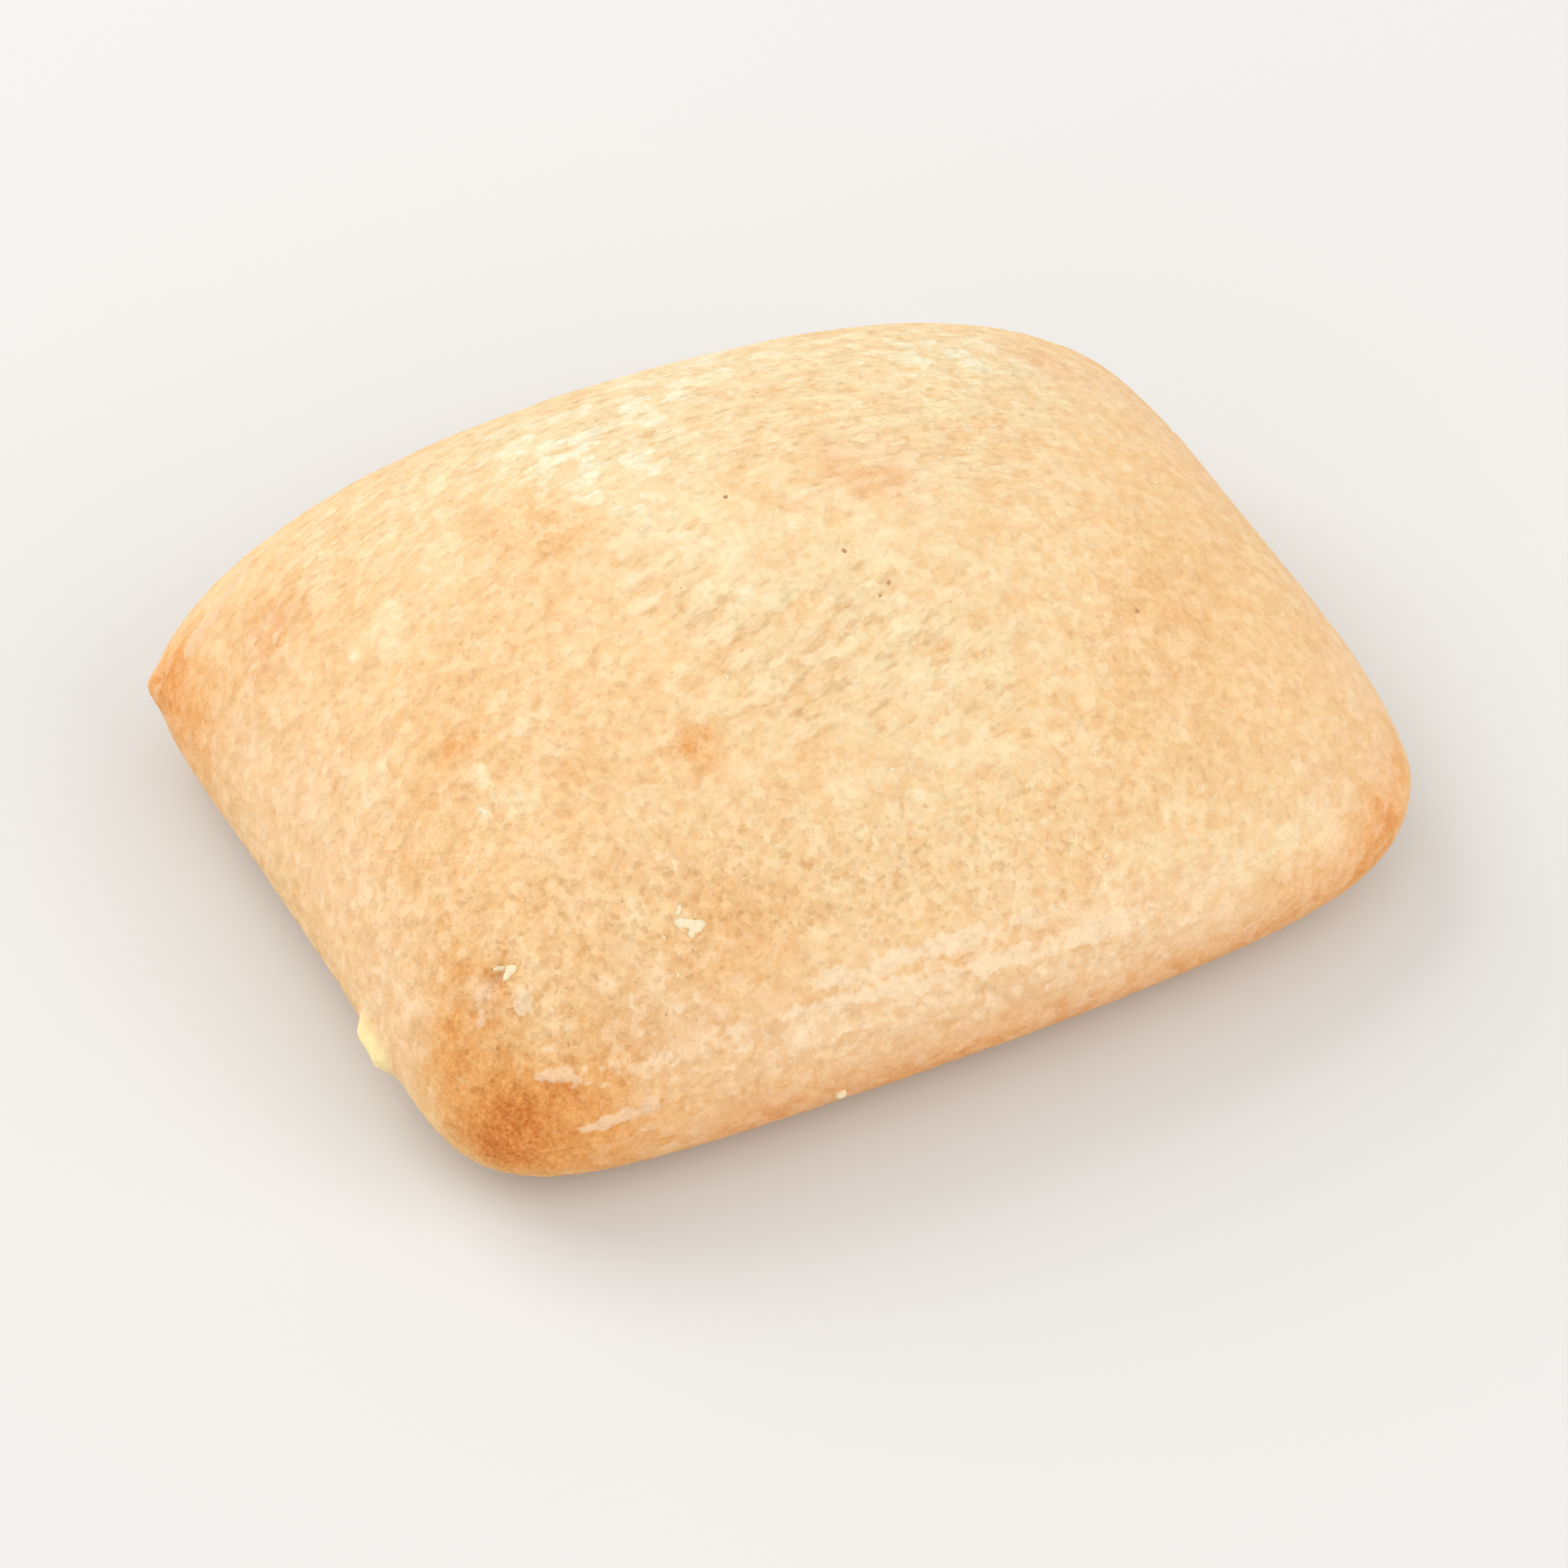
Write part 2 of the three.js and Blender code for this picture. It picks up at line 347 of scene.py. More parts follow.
@dataclass(frozen=True)
class RollForm:
    """Smooth form of the roll: a superellipsoid with the plan, dome and corners of the CAD solid."""

    length: float = 95.0
    width: float = 69.3
    height: float = 36.2
    belly: float = 8.75
    underside_depth: float = 1.2
    skew: float = -2.15
    far_lengthening: float = 0.2
    right_widening: float = -1.25
    bow: Mapping[Side, float] = field(
        default_factory=lambda: {Side.LEFT: -1.3, Side.RIGHT: -0.8, Side.NEAR: 2.7, Side.FAR: 1.05}
    )
    crown_setback: float = 2.8
    rise_tilt: tuple[float, float] = (-0.06, 0.05)
    belly_squareness: float = 6.6
    crown_squareness: float = 2.13
    dome_fullness: float = 1.85
    underside_fullness: float = 3.2
    corner_squareness: Mapping[Side, float] = field(
        default_factory=lambda: {
            Side.NEAR_LEFT: 1.45,
            Side.NEAR_RIGHT: -0.7,
            Side.FAR_RIGHT: 0.8,
            Side.FAR_LEFT: 0.35,
        }
    )
    side_fullness: Mapping[Side, float] = field(
        default_factory=lambda: {Side.NEAR: 0.3, Side.FAR: 0.5, Side.FAR_LEFT: -0.22}
    )
    rounding_power: float = 0.4
    rounding_onset: float = 0.1
    side_focus: float = 4.0
    # Moves the form so that the CAD solid's box stands over the origin
    shift: tuple[float, float, float] = (0.335, 0.799, 0.0)

    def side_value(self, directions: np.ndarray, values: Mapping[Side, float]) -> np.ndarray:
        """Sums side values, each weighted by how far a direction faces its side.

        Args:
            directions: Unit directions, one row each.
            values: Value of each side.

        Returns:
            One sum per direction.
        """
        reach = np.hypot(directions[:, 0], directions[:, 1]) + TINY
        total = np.zeros(len(directions))
        for side, value in values.items():
            way = np.array(side.value) / np.hypot(*side.value)
            facing = np.clip(directions[:, :2] @ way / reach, 0, 1)
            total += value * facing**self.side_focus
        return total

    def points(self, directions: np.ndarray) -> np.ndarray:
        """Gives the points of the smooth crust in some directions.

        Args:
            directions: Unit directions from the middle of the belly plane, one row each.

        Returns:
            Points in millimetres in the frame of the CAD part.
        """
        lift = directions[:, 2]
        rise = np.clip(lift, 0, 1)
        belt = self.belly_squareness + self.side_value(directions, self.corner_squareness)
        onset = self.rounding_onset
        rounding = (np.hypot(rise, onset) - onset) ** self.rounding_power
        squareness = belt + (self.crown_squareness - belt) * rounding
        dome = self.dome_fullness + (1 - rise) * self.side_value(directions, self.side_fullness)
        fullness = np.where(lift > 0, dome, self.underside_fullness)
        across = np.abs(directions[:, :2]) ** squareness[:, None]
        plan = across.sum(1) ** (1 / squareness)
        reach = (plan**fullness + np.abs(lift) ** fullness) ** (-1 / fullness)
        u, v, w = (directions * reach[:, None]).T

        end_bow = np.where(u > 0, self.bow[Side.RIGHT], -self.bow[Side.LEFT])
        side_bow = np.where(v > 0, self.bow[Side.FAR], -self.bow[Side.NEAR])
        x = u * (self.length / 2 + self.far_lengthening * v) + self.skew * v
        x += (1 - v * v) * u * u * end_bow
        y = v * (self.width / 2 + self.right_widening * u) + (1 - u * u) * v * v * side_bow
        y += self.crown_setback * np.maximum(w, 0)
        tilt = 1 + self.rise_tilt[0] * u + self.rise_tilt[1] * v
        above = w * (self.height - self.belly) * tilt
        below = w * self.belly * self.underside_depth
        z = self.belly + np.where(w > 0, above, below)
        return np.column_stack([x, y, z]) + np.array(self.shift)

    def base_latitudes(self, longitudes: np.ndarray) -> np.ndarray:
        """Gives the latitude at which the crust meets the flat base.

        Args:
            longitudes: Longitudes in radians.

        Returns:
            Latitudes in radians, below zero.
        """
        level = np.column_stack([np.cos(longitudes), np.sin(longitudes), 0 * longitudes])
        belt = self.belly_squareness + self.side_value(level, self.corner_squareness)
        across = np.abs(level[:, :2]) ** belt[:, None]
        plan = across.sum(1) ** (1 / belt)
        kept = self.underside_depth**-self.underside_fullness
        return -np.arctan(plan * (kept / (1 - kept)) ** (1 / self.underside_fullness))

    def spots(self, places: Places) -> np.ndarray:
        """Gives the points of the smooth crust at some places.

        Args:
            places: Longitude and latitude of each place, in degrees.

        Returns:
            Points in millimetres, one row each.
        """
        angles = np.radians(places)
        return self.points(unit_directions(angles[:, 0], angles[:, 1]))

    def path(self, places: Places, steps: int = 16) -> np.ndarray:
        """Gives points along the smooth crust through some places.

        Args:
            places: Longitude and latitude of each place, in degrees.
            steps: Points between two places.

        Returns:
            Points in millimetres, one row each.
        """
        corners = np.array(places, float)
        at = np.linspace(0, len(corners) - 1, steps * (len(corners) - 1) + 1)
        number = np.arange(len(corners))
        longitude = np.radians(np.interp(at, number, corners[:, 0]))
        latitude = np.radians(np.interp(at, number, corners[:, 1]))
        return self.points(unit_directions(longitude, latitude))


@dataclass(frozen=True)
class Mark:
    """A place or a line on the crust and how far its effect reaches, in millimetres."""

    path: Places
    reach: float
    strength: float
    end_reach: float | None = None

    def effect(self, form: RollForm, points: np.ndarray) -> np.ndarray:
        """Gives the mark's effect at some points.

        Args:
            form: Form that the mark lies on.
            points: Points of the smooth crust in millimetres.

        Returns:
            Effect at each point, highest on the mark and fading away from it.
        """
        line = form.path(self.path)
        last = self.reach if self.end_reach is None else self.end_reach
        nearest = np.full(len(points), np.inf)
        for place, reach in zip(line, np.linspace(self.reach, last, len(line))):
            np.minimum(nearest, np.square((points - place) / reach).sum(1), out=nearest)
        return self.strength * np.exp(-nearest)


@dataclass(frozen=True)
class Patch:
    """An outlined patch of the crust: the places along its rim, its strength and the rim's softness."""

    rim: Places
    strength: float
    softness: float = 0.3

    def effect(self, form: RollForm, points: np.ndarray) -> np.ndarray:
        """Gives the patch's effect at some points.

        Args:
            form: Form that the patch lies on.
            points: Points of the smooth crust in millimetres.

        Returns:
            Effect at each point, full inside the rim and none outside it.
        """
        rim = form.spots(self.rim)
        middle = rim.mean(0)
        _, _, axes = np.linalg.svd(rim - middle)
        share_inside = np.zeros(len(points))
        near = np.linalg.norm(points - middle, axis=1) < 2 * np.linalg.norm(rim - middle, axis=1).max()
        flat = (points[near] - middle) @ axes[:2].T
        corners = (rim - middle) @ axes[:2].T
        away = np.full(len(flat), np.inf)
        inside = np.zeros(len(flat), bool)
        for start, end in zip(corners, np.roll(corners, -1, 0)):
            edge = end - start
            share = np.clip((flat - start) @ edge / (edge @ edge), 0, 1)
            np.minimum(away, np.linalg.norm(flat - start - share[:, None] * edge, axis=1), out=away)
            if start[1] != end[1]:
                crossing = start[0] + (flat[:, 1] - start[1]) / edge[1] * edge[0]
                inside ^= ((start[1] > flat[:, 1]) != (end[1] > flat[:, 1])) & (flat[:, 0] < crossing)
        share_inside[near] = smoothstep(np.where(inside, away, -away), -self.softness, self.softness)
        return self.strength * share_inside


@dataclass(frozen=True)
class GrainPattern:
    """Flat-topped grain of the crust: round crags, wrinkles along the roll and slanting slabs.

    The relief and the colour both use it, so that the colour gets a painted shade in the creases where they
    are deep.
    """

    crag: float = 1.25
    wrinkle_length: float = 3.2
    wrinkle_width: float = 0.95
    slab_length: float = 3.6
    slab_width: float = 1.5
    slab_turn: float = math.radians(18)
    crease: float = 0.38
    top: float = 0.56

    def draw(
        self,
        tree: Tree,
        weave: Weave,
        position: Socket,
        lengthwise: Socket,
        slantwise: Socket,
    ) -> Socket:
        """Adds the pattern to a tree.

        Args:
            tree: Shader or geometry tree.
            weave: What to draw it with.
            position: Place on the piece in metres.
            lengthwise: Share of the wrinkles, 0 to 1.
            slantwise: Share of the slabs, 0 to 1.

        Returns:
            Socket with the pattern, around 0.5.
        """
        kind, settings, inputs, output = weave.value
        layers = []
        for turn, length, width in (
            (0.0, self.crag, self.crag),
            (0.0, self.wrinkle_length, self.wrinkle_width),
            (-self.slab_turn, self.slab_length, self.slab_width),
        ):
            turned = add_node(
                tree, "ShaderNodeVectorRotate", {"Vector": position, "Angle": turn}, rotation_type="Z_AXIS"
            )
            stretch = (1 / (length * MM), 1 / (width * MM), 1 / (width * MM))
            cells = add_node(
                tree, "ShaderNodeVectorMath", {0: turned.outputs[0], 1: stretch}, operation="MULTIPLY"
            )
            drawn = add_node(tree, kind, {"Vector": cells.outputs[0], **inputs}, **settings)
            layers.append(drawn.outputs[output])
        wrinkled = add_node(tree, "ShaderNodeMix", {0: lengthwise, 2: layers[0], 3: layers[1]})
        slabbed = add_node(tree, "ShaderNodeMix", {0: slantwise, 2: wrinkled.outputs[0], 3: layers[2]})
        return slabbed.outputs[0]

    def plateau(self, tree: Tree, height: Socket, share: Socket) -> Socket:
        """Flattens the pattern's tops.

        Args:
            tree: Shader or geometry tree.
            height: Height from the pattern.
            share: Strength of the grain, 0 to 1.

        Returns:
            Socket with 0 in the creases and up to 1 on the crags.
        """
        return add_node(
            tree,
            "ShaderNodeMapRange",
            {"Value": height, "From Min": self.crease, "From Max": self.top, "To Max": share},
            interpolation_type="SMOOTHSTEP",
        ).outputs[0]


@dataclass(frozen=True)
class Cut:
    """A layer that goes from none to its most between two values of another layer."""

    made: Layer
    source: Layer
    start: float
    end: float
    most: Layer | float = 1.0
    eased: bool = True


@dataclass(frozen=True)
class Uneven:
    """A layer that is a tone times a factor: a start plus a gain times another layer."""

    made: Layer
    tone: Tone
    source: Layer
    gain: float
    start: float


@dataclass(frozen=True)
class Tint:
    """A colour over the crust, between two strengths of a tone that layers break up.

    Where there is a second colour, the crags vary between the two.
    """

    tone: Tone
    colour: str
    start: float
    end: float
    most: float
    broken_by: tuple[tuple[Layer, float], ...] = ()
    second: str | None = None


@dataclass(frozen=True)
class WheatCrust:
    """Baked wheat crust dusted with flour.

    A dry, matt skin of set starch whose colour follows one scale of baking: floury cream, gold,
    tan, orange-brown. Crags and flecks of flour are paler, dents and seams get a painted shade, and
    the walls that stood close to other rolls stayed smooth and rosy.
    """

    grain: GrainPattern
    # Small dents between the flakes of the skin: sunk into the fine relief and darkened with painted shade
    dents: GrainPattern = GrainPattern(
        crag=0.75, wrinkle_length=1.7, wrinkle_width=0.6, slab_length=2.0, slab_width=0.85
    )
    # Depth of the dents, which also sets how dark their painted shade is
    dent_strength: float = 0.29
    # Soft noise: size in millimetres, octaves and roughness; flour dust is too fine to show, so the
    # speckle is drawn coarser than its grains
    clouds: tuple[tuple[Layer, float, float, float], ...] = (
        (Layer.MOTTLE, 5.0, 5.0, 0.65),
        (Layer.BLUSH, 3.4, 2.0, 0.5),
        (Layer.PATCH, 2.4, 2.0, 0.55),
        (Layer.FLECK, 1.0, 1.5, 0.55),
        (Layer.SPECKLE, 0.35, 1.0, 0.6),
        (Layer.RAGGED, 0.55, 2.0, 0.6),
    )
    ragged_reach: float = 0.6
    scale_sizes: tuple[tuple[Layer, float], ...] = ((Layer.SMALL_SCALE, 0.6), (Layer.LARGE_SCALE, 1.2))
    # Shade of a crag where the crust is smooth
    even_plate: float = 0.5
    cuts: tuple[Cut, ...] = (
        Cut(Layer.FLOUR_PATCH, Layer.PATCH, 0.47, 0.55),
        Cut(Layer.FLOUR_FLECK, Layer.FLECK, 0.47, 0.55),
        Cut(Layer.PLATE, Layer.PLATING, 0.25, 0.75, eased=False),
        Cut(Layer.FLAKE, Layer.LARGE_SCALE, 0.54, 0.6, eased=False),
        Cut(Layer.SEAM_REACH, Layer.DRAWN_OUT, 0.5, 1.0, 0.4, eased=False),
        Cut(Layer.SEAM_BREAK, Layer.FLECK, 0.47, 0.6, Layer.SEAM_REACH, eased=False),
        Cut(Layer.SEAM, Layer.SEAMING, 0.18, 0.02, Layer.SEAM_BREAK),
        Cut(Layer.DENT, Layer.DENTING, 0.46, 0.35, Layer.DEEPEST),
    )
    unevens: tuple[Uneven, ...] = (
        Uneven(Layer.BAKED, Tone.BROWNED, Layer.SPECKLE, -1.0, 1.5),
        Uneven(Layer.FLOURED, Tone.FLOURY, Layer.FLOUR_PATCH, 0.4, 0.6),
        Uneven(Layer.TOASTED, Tone.BROWNED, Layer.SPECKLE, 1.0, -0.5),
    )
    # The scale of baking, from the hardest baked corner to bare flour
    bake_steps: tuple[tuple[float, str], ...] = (
        (0.0, "#bd6a2b"),
        (0.2, "#cf8343"),
        (0.4, "#dc9d5d"),
        (0.55, "#dfaf77"),
        (0.68, "#e5be8c"),
        (0.8, "#e6cca0"),
        (0.9, "#e6d4ac"),
        (1.0, "#e6e1c5"),
    )
    # How far each layer moves the colour along that scale
    ground_paleness: float = 0.566
    bake_gains: tuple[tuple[Layer, float], ...] = (
        (Layer.MOTTLE, 0.09),
        (Layer.FLOUR_PATCH, 0.03),
        (Layer.FLOUR_FLECK, 0.02),
        (Layer.FLAKE, 0.03),
        (Layer.PLATE, 0.035),
        # Dents and seams turn the colour tan as part of their painted shade
        (Layer.DENT, -0.03),
        (Layer.SEAM, -0.03),
        (Layer.CRAG, 0.05),
        (Layer.FLOURED, 0.25),
        (Layer.BAKED, -0.5),
    )
    # How far each layer changes only the lightness of the colour: partly the grain's own tone, partly painted
    # shade of its fine relief
    ground_shade: float = 0.874
    shade_gains: tuple[tuple[Layer, float], ...] = (
        (Layer.SPECKLE, 0.09),
        (Layer.FLOUR_PATCH, 0.011),
        (Layer.FLOUR_FLECK, 0.022),
        (Layer.FLAKE, 0.022),
        (Layer.PLATE, 0.035),
        (Layer.SMALL_SCALE, 0.078),
        (Layer.TOASTED, 0.15),
    )
    tints: tuple[Tint, ...] = (
        Tint(
            Tone.ROSY,
            "#e8cdae",
            0.7,
            1.8,
            0.7,
            broken_by=((Layer.BLUSH, 0.9), (Layer.LARGE_SCALE, 0.7)),
            second="#deb489",
        ),
        Tint(Tone.BEADED, "#ebd3b2", 0.97, 1.18, 0.66, broken_by=((Layer.FLECK, 1.2),)),
        Tint(Tone.SCUFFED, "#e5c09a", 0.95, 1.25, 0.9, broken_by=((Layer.FLECK, 1.2),)),
        Tint(Tone.CRUMB, "#eedba2", 0.2, 0.8, 1.0),
    )
    # Painted shade that the dents and seams multiply into the colour
    painted_crease_shade: str = "#e2d4c2"
    # Fine relief in millimetres
    bumps: tuple[tuple[Layer, float], ...] = (
        (Layer.CRAG, 0.06),
        (Layer.SPECKLE, 0.03),
        (Layer.DENT, -0.1),
    )
    smooth_roughness: float = 0.62
    grainy_roughness: float = 0.9
    ior: float = 1.45
    specular: float = 0.15

    def material(self) -> bpy.types.Material:
        """Builds the crust's material.

        Returns:
            The material, which reads Object coordinates and the crust's own attributes.
        """
        made, tree, position = new_material("floured_wheat_crust")
        tone = {
            t: add_node(tree, "ShaderNodeAttribute", attribute_name=t.value).outputs["Fac"] for t in Tone
        }
        layers = self.layers(tree, position, tone)
        relief = weighed_sum(tree, 0.0, [(layers[layer], lift * MM) for layer, lift in self.bumps])
        roughness = add_node(
            tree,
            "ShaderNodeMapRange",
            {"Value": tone[Tone.GRAIN], "To Min": self.smooth_roughness, "To Max": self.grainy_roughness},
        )
        finish = {
            "Base Color": self.colour(tree, tone, layers),
            "Roughness": roughness.outputs[0],
            "IOR": self.ior,
            "Specular IOR Level": self.specular,
        }
        end_material(tree, relief, finish)
        return made

    def layers(self, tree: Tree, position: Socket, tone: Mapping[Tone, Socket]) -> dict[Layer, Socket]:
        """Adds the layers that the colour and the fine relief are mixed from.

        Args:
            tree: The material's tree.
            position: Place on the crust in metres.
            tone: Socket of each attribute.

        Returns:
            Socket of each layer.
        """
        made: dict[Layer, Socket] = {}
        for layer, size, octaves, roughness in self.clouds:
            inputs = {"Vector": position, "Scale": 1 / (size * MM), "Detail": octaves, "Roughness": roughness}
            made[layer] = add_node(tree, "ShaderNodeTexNoise", inputs).outputs[0]
        ragged = add_node(
            tree,
            "ShaderNodeVectorMath",
            {0: made[Layer.RAGGED].node.outputs["Color"], 1: (self.ragged_reach * MM,) * 3, 2: position},
            operation="MULTIPLY_ADD",
        ).outputs[0]
        for layer, size in self.scale_sizes:
            inputs = {"Vector": ragged, "Scale": 1 / (size * MM)}
            made[layer] = add_node(tree, "ShaderNodeTexVoronoi", inputs).outputs["Color"]
        lie = (tone[Tone.LENGTHWISE], tone[Tone.SLANTWISE])
        for layer, pattern, weave, place in (
            (Layer.HEIGHT, self.grain, Weave.SWELLING, position),
            (Layer.PLATING, self.grain, Weave.PLATED, ragged),
            (Layer.SEAMING, self.grain, Weave.SEAMED, ragged),
            (Layer.DENTING, self.dents, Weave.SWELLING, position),
        ):
            made[layer] = pattern.draw(tree, weave, place, *lie)
        made[Layer.CRAG] = self.grain.plateau(tree, made[Layer.HEIGHT], tone[Tone.GRAIN])
        for layer, first, second, operation in (
            (Layer.DRAWN_OUT, *lie, "ADD"),
            (Layer.DEEPEST, tone[Tone.GRAIN], self.dent_strength, "MULTIPLY"),
        ):
            inputs = {0: first, 1: second}
            made[layer] = add_node(tree, "ShaderNodeMath", inputs, operation=operation).outputs[0]
        for cut in self.cuts:
            most = made[cut.most] if isinstance(cut.most, Layer) else cut.most
            made[cut.made] = add_node(
                tree,
                "ShaderNodeMapRange",
                {"Value": made[cut.source], "From Min": cut.start, "From Max": cut.end, "To Max": most},
                interpolation_type="SMOOTHSTEP" if cut.eased else "LINEAR",
            ).outputs[0]
        plate = {0: tone[Tone.GRAIN], 2: self.even_plate, 3: made[Layer.PLATE]}
        made[Layer.PLATE] = add_node(tree, "ShaderNodeMix", plate).outputs[0]
        for uneven in self.unevens:
            inputs = {0: made[uneven.source], 1: uneven.gain, 2: uneven.start}
            factor = add_node(tree, "ShaderNodeMath", inputs, operation="MULTIPLY_ADD").outputs[0]
            inputs = {0: tone[uneven.tone], 1: factor}
            made[uneven.made] = add_node(tree, "ShaderNodeMath", inputs, operation="MULTIPLY").outputs[0]
        return made

    def colour(self, tree: Tree, tone: Mapping[Tone, Socket], layers: Mapping[Layer, Socket]) -> Socket:
        """Adds the crust's colour to its tree.

        Args:
            tree: The material's tree.
            tone: Socket of each attribute.
            layers: Socket of each layer.

        Returns:
            Socket with the colour.
        """
        paleness, shade = (
            weighed_sum(tree, ground, [(layers[layer], gain) for layer, gain in gains])
            for ground, gains in (
                (self.ground_paleness, self.bake_gains),
                (self.ground_shade, self.shade_gains),
            )
        )
        scale = add_node(tree, "ShaderNodeValToRGB", {"Fac": paleness})
        steps = scale.color_ramp.elements
        while len(steps) < len(self.bake_steps):
            steps.new(0.5)
        for step, (place, hue) in zip(steps, self.bake_steps):
            step.position = place
            step.color = linear(hue)

        coats = []
        for tint in self.tints:
            broken = [(layers[layer], gain) for layer, gain in tint.broken_by]
            strength = weighed_sum(tree, tone[tint.tone], broken)
            share = add_node(
                tree,
                "ShaderNodeMapRange",
                {"Value": strength, "From Min": tint.start, "From Max": tint.end, "To Max": tint.most},
            )
            hue = linear(tint.colour)
            if tint.second:
                both = {0: layers[Layer.PLATE], 6: linear(tint.second), 7: hue}
                hue = add_node(tree, "ShaderNodeMix", both, data_type="RGBA").outputs[2]
            coats.append((share.outputs[0], hue, "MIX"))
        # Painted shade in the dents and seams
        painted_crease_share = add_node(
            tree,
            "ShaderNodeMath",
            {0: layers[Layer.DENT], 1: layers[Layer.SEAM]},
            operation="ADD",
            use_clamp=True,
        )
        coats.append((painted_crease_share.outputs[0], linear(self.painted_crease_shade), "MULTIPLY"))
        # Lightness of the grain, partly painted shade of its fine relief
        coats.append((1.0, shade, "MULTIPLY"))
        colour = scale.outputs[0]
        for share, hue, blend in coats:
            colour = add_node(
                tree, "ShaderNodeMix", {0: share, 6: colour, 7: hue}, data_type="RGBA", blend_type=blend
            ).outputs[2]
        return colour


@dataclass(frozen=True)
class DryChip:
    """Finish of a dry, matt chip, mottled between two close colours."""

    name: str
    pale: str
    dark: str
    mottle: float = 0.8
    octaves: float = 3.0
    mottle_edges: tuple[float, float] = (0.35, 0.65)
    bump: float = 0.08
    roughness: float = 0.92
    ior: float = 1.45
    specular: float = 0.25

    def material(self) -> bpy.types.Material:
        """Builds the chips' material.

        Returns:
            The material, which reads Object coordinates.
        """
        made, tree, position = new_material(self.name)
        inputs = {"Vector": position, "Scale": 1 / (self.mottle * MM), "Detail": self.octaves}
        noise = add_node(tree, "ShaderNodeTexNoise", inputs).outputs[0]
        start, end = self.mottle_edges
        share = add_node(tree, "ShaderNodeMapRange", {"Value": noise, "From Min": start, "From Max": end})
        both = {0: share.outputs[0], 6: linear(self.pale), 7: linear(self.dark)}
        colour = add_node(tree, "ShaderNodeMix", both, data_type="RGBA").outputs[2]
        finish = {
            "Base Color": colour,
            "Roughness": self.roughness,
            "IOR": self.ior,
            "Specular IOR Level": self.specular,
        }
        grit = add_node(tree, "ShaderNodeMath", {0: noise, 1: self.bump * MM}, operation="MULTIPLY")
        end_material(tree, grit.outputs[0], finish)
        return made


# Torn skin with flour on it, paler than the crust around it
TORN_FLAKE = DryChip("torn_crust_flake", "#e9dfc0", "#e8d3ab")
# Husk of the grain, baked into the crust as fine dark specks
WHEAT_BRAN = DryChip("wheat_bran", "#c0926a", "#a47852")

# Rims of the torn flakes, the blister and the scuffs
LARGE_FLAKE = (
    (-123.4, 28.3), (-122.8, 28.4), (-122.2, 28.3), (-121.7, 28.3), (-121.3, 28.1), (-120.9, 28.3),
    (-120.5, 28.0), (-120.2, 27.6), (-120.4, 27.0), (-120.5, 26.6), (-120.8, 26.5), (-121.1, 26.4),
    (-121.1, 26.0), (-121.4, 25.9), (-121.8, 26.2), (-121.9, 26.6), (-121.8, 26.9), (-122.1, 27.2),
    (-122.5, 27.2), (-122.9, 27.2), (-123.3, 27.5), (-123.5, 27.9),
)
LEFT_FLAKE = (
    (-152.3, 35.0), (-152.4, 35.6), (-151.6, 36.2), (-150.8, 36.3), (-150.2, 35.8), (-150.0, 35.2),
    (-150.4, 35.0), (-151.4, 35.0),
)
LEFT_CHIP = (
    (-151.6, 37.4), (-151.5, 37.9), (-150.6, 37.9), (-150.1, 37.4), (-150.3, 37.0), (-151.1, 36.9),
)
SMALL_FLAKE = (
    (-123.4, 29.3), (-123.3, 29.8), (-123.2, 30.1), (-122.9, 29.9), (-122.8, 29.4), (-122.9, 28.9),
    (-123.2, 28.7), (-123.5, 28.9),
)
BLISTER_EDGE = (
    (-138.6, 20.6), (-138.0, 20.9), (-137.6, 20.8), (-137.4, 20.4), (-137.4, 19.8), (-137.5, 19.3),
    (-137.6, 18.9), (-137.8, 18.6), (-138.1, 18.8), (-138.5, 19.2), (-138.5, 19.7), (-138.5, 20.2),
)
BLISTER_SLIVER = (
    (-140.2, 19.6), (-139.8, 20.1), (-139.2, 20.3), (-138.8, 20.4), (-138.7, 20.1), (-139.0, 19.8),
    (-139.5, 19.5), (-140.0, 19.4),
)
LOW_SCUFF = (
    (-131.0, 2.0), (-130.4, 2.3), (-129.8, 2.4), (-129.0, 2.7), (-128.2, 3.0), (-127.8, 3.6),
    (-127.2, 3.9), (-126.6, 4.2), (-126.0, 4.6), (-125.6, 5.1), (-125.1, 4.4), (-124.7, 4.6),
    (-124.2, 5.7), (-123.7, 5.8), (-123.3, 5.0), (-123.1, 3.7), (-123.5, 3.1), (-124.1, 3.1),
    (-124.6, 2.9), (-125.2, 2.9), (-125.7, 2.5), (-126.3, 2.2), (-126.9, 1.8), (-127.5, 1.8),
    (-128.4, 2.0), (-129.2, 2.2), (-129.8, 2.1), (-130.3, 1.6),
)
HIGH_SCUFF = (
    (-133.2, 9.1), (-133.0, 9.7), (-132.5, 10.0), (-131.8, 10.4), (-131.2, 10.6), (-130.8, 11.0),
    (-130.3, 11.1), (-130.0, 10.7), (-130.0, 10.1), (-129.6, 9.6), (-129.2, 9.2), (-128.8, 9.3),
    (-128.4, 9.0), (-128.2, 8.5), (-128.5, 8.3), (-129.2, 8.5), (-130.0, 8.5), (-131.0, 8.6),
    (-131.9, 8.4), (-132.7, 8.5),
)

# Places that more than one mark follows
FAR_LEFT_STREAK = ((142.8, 9.6), (141.6, 14.0), (139.6, 17.2), (136.4, 19.2))
EDGE_NUB = ((-156.4, -8.4), (-152.8, -11.6))
CROWN_BLUSH = ((-9.2, 82.8), (-16.4, 77.6))
FAR_LEFT_BLUSH = ((148.8, 26.0), (153.2, 22.0))
FAR_RIGHT_SPOT = ((33.2, 36.0),)
SLANTING_SLABS = ((-104.4, 60.0), (-85.0, 60.0), (-75.0, 54.0))

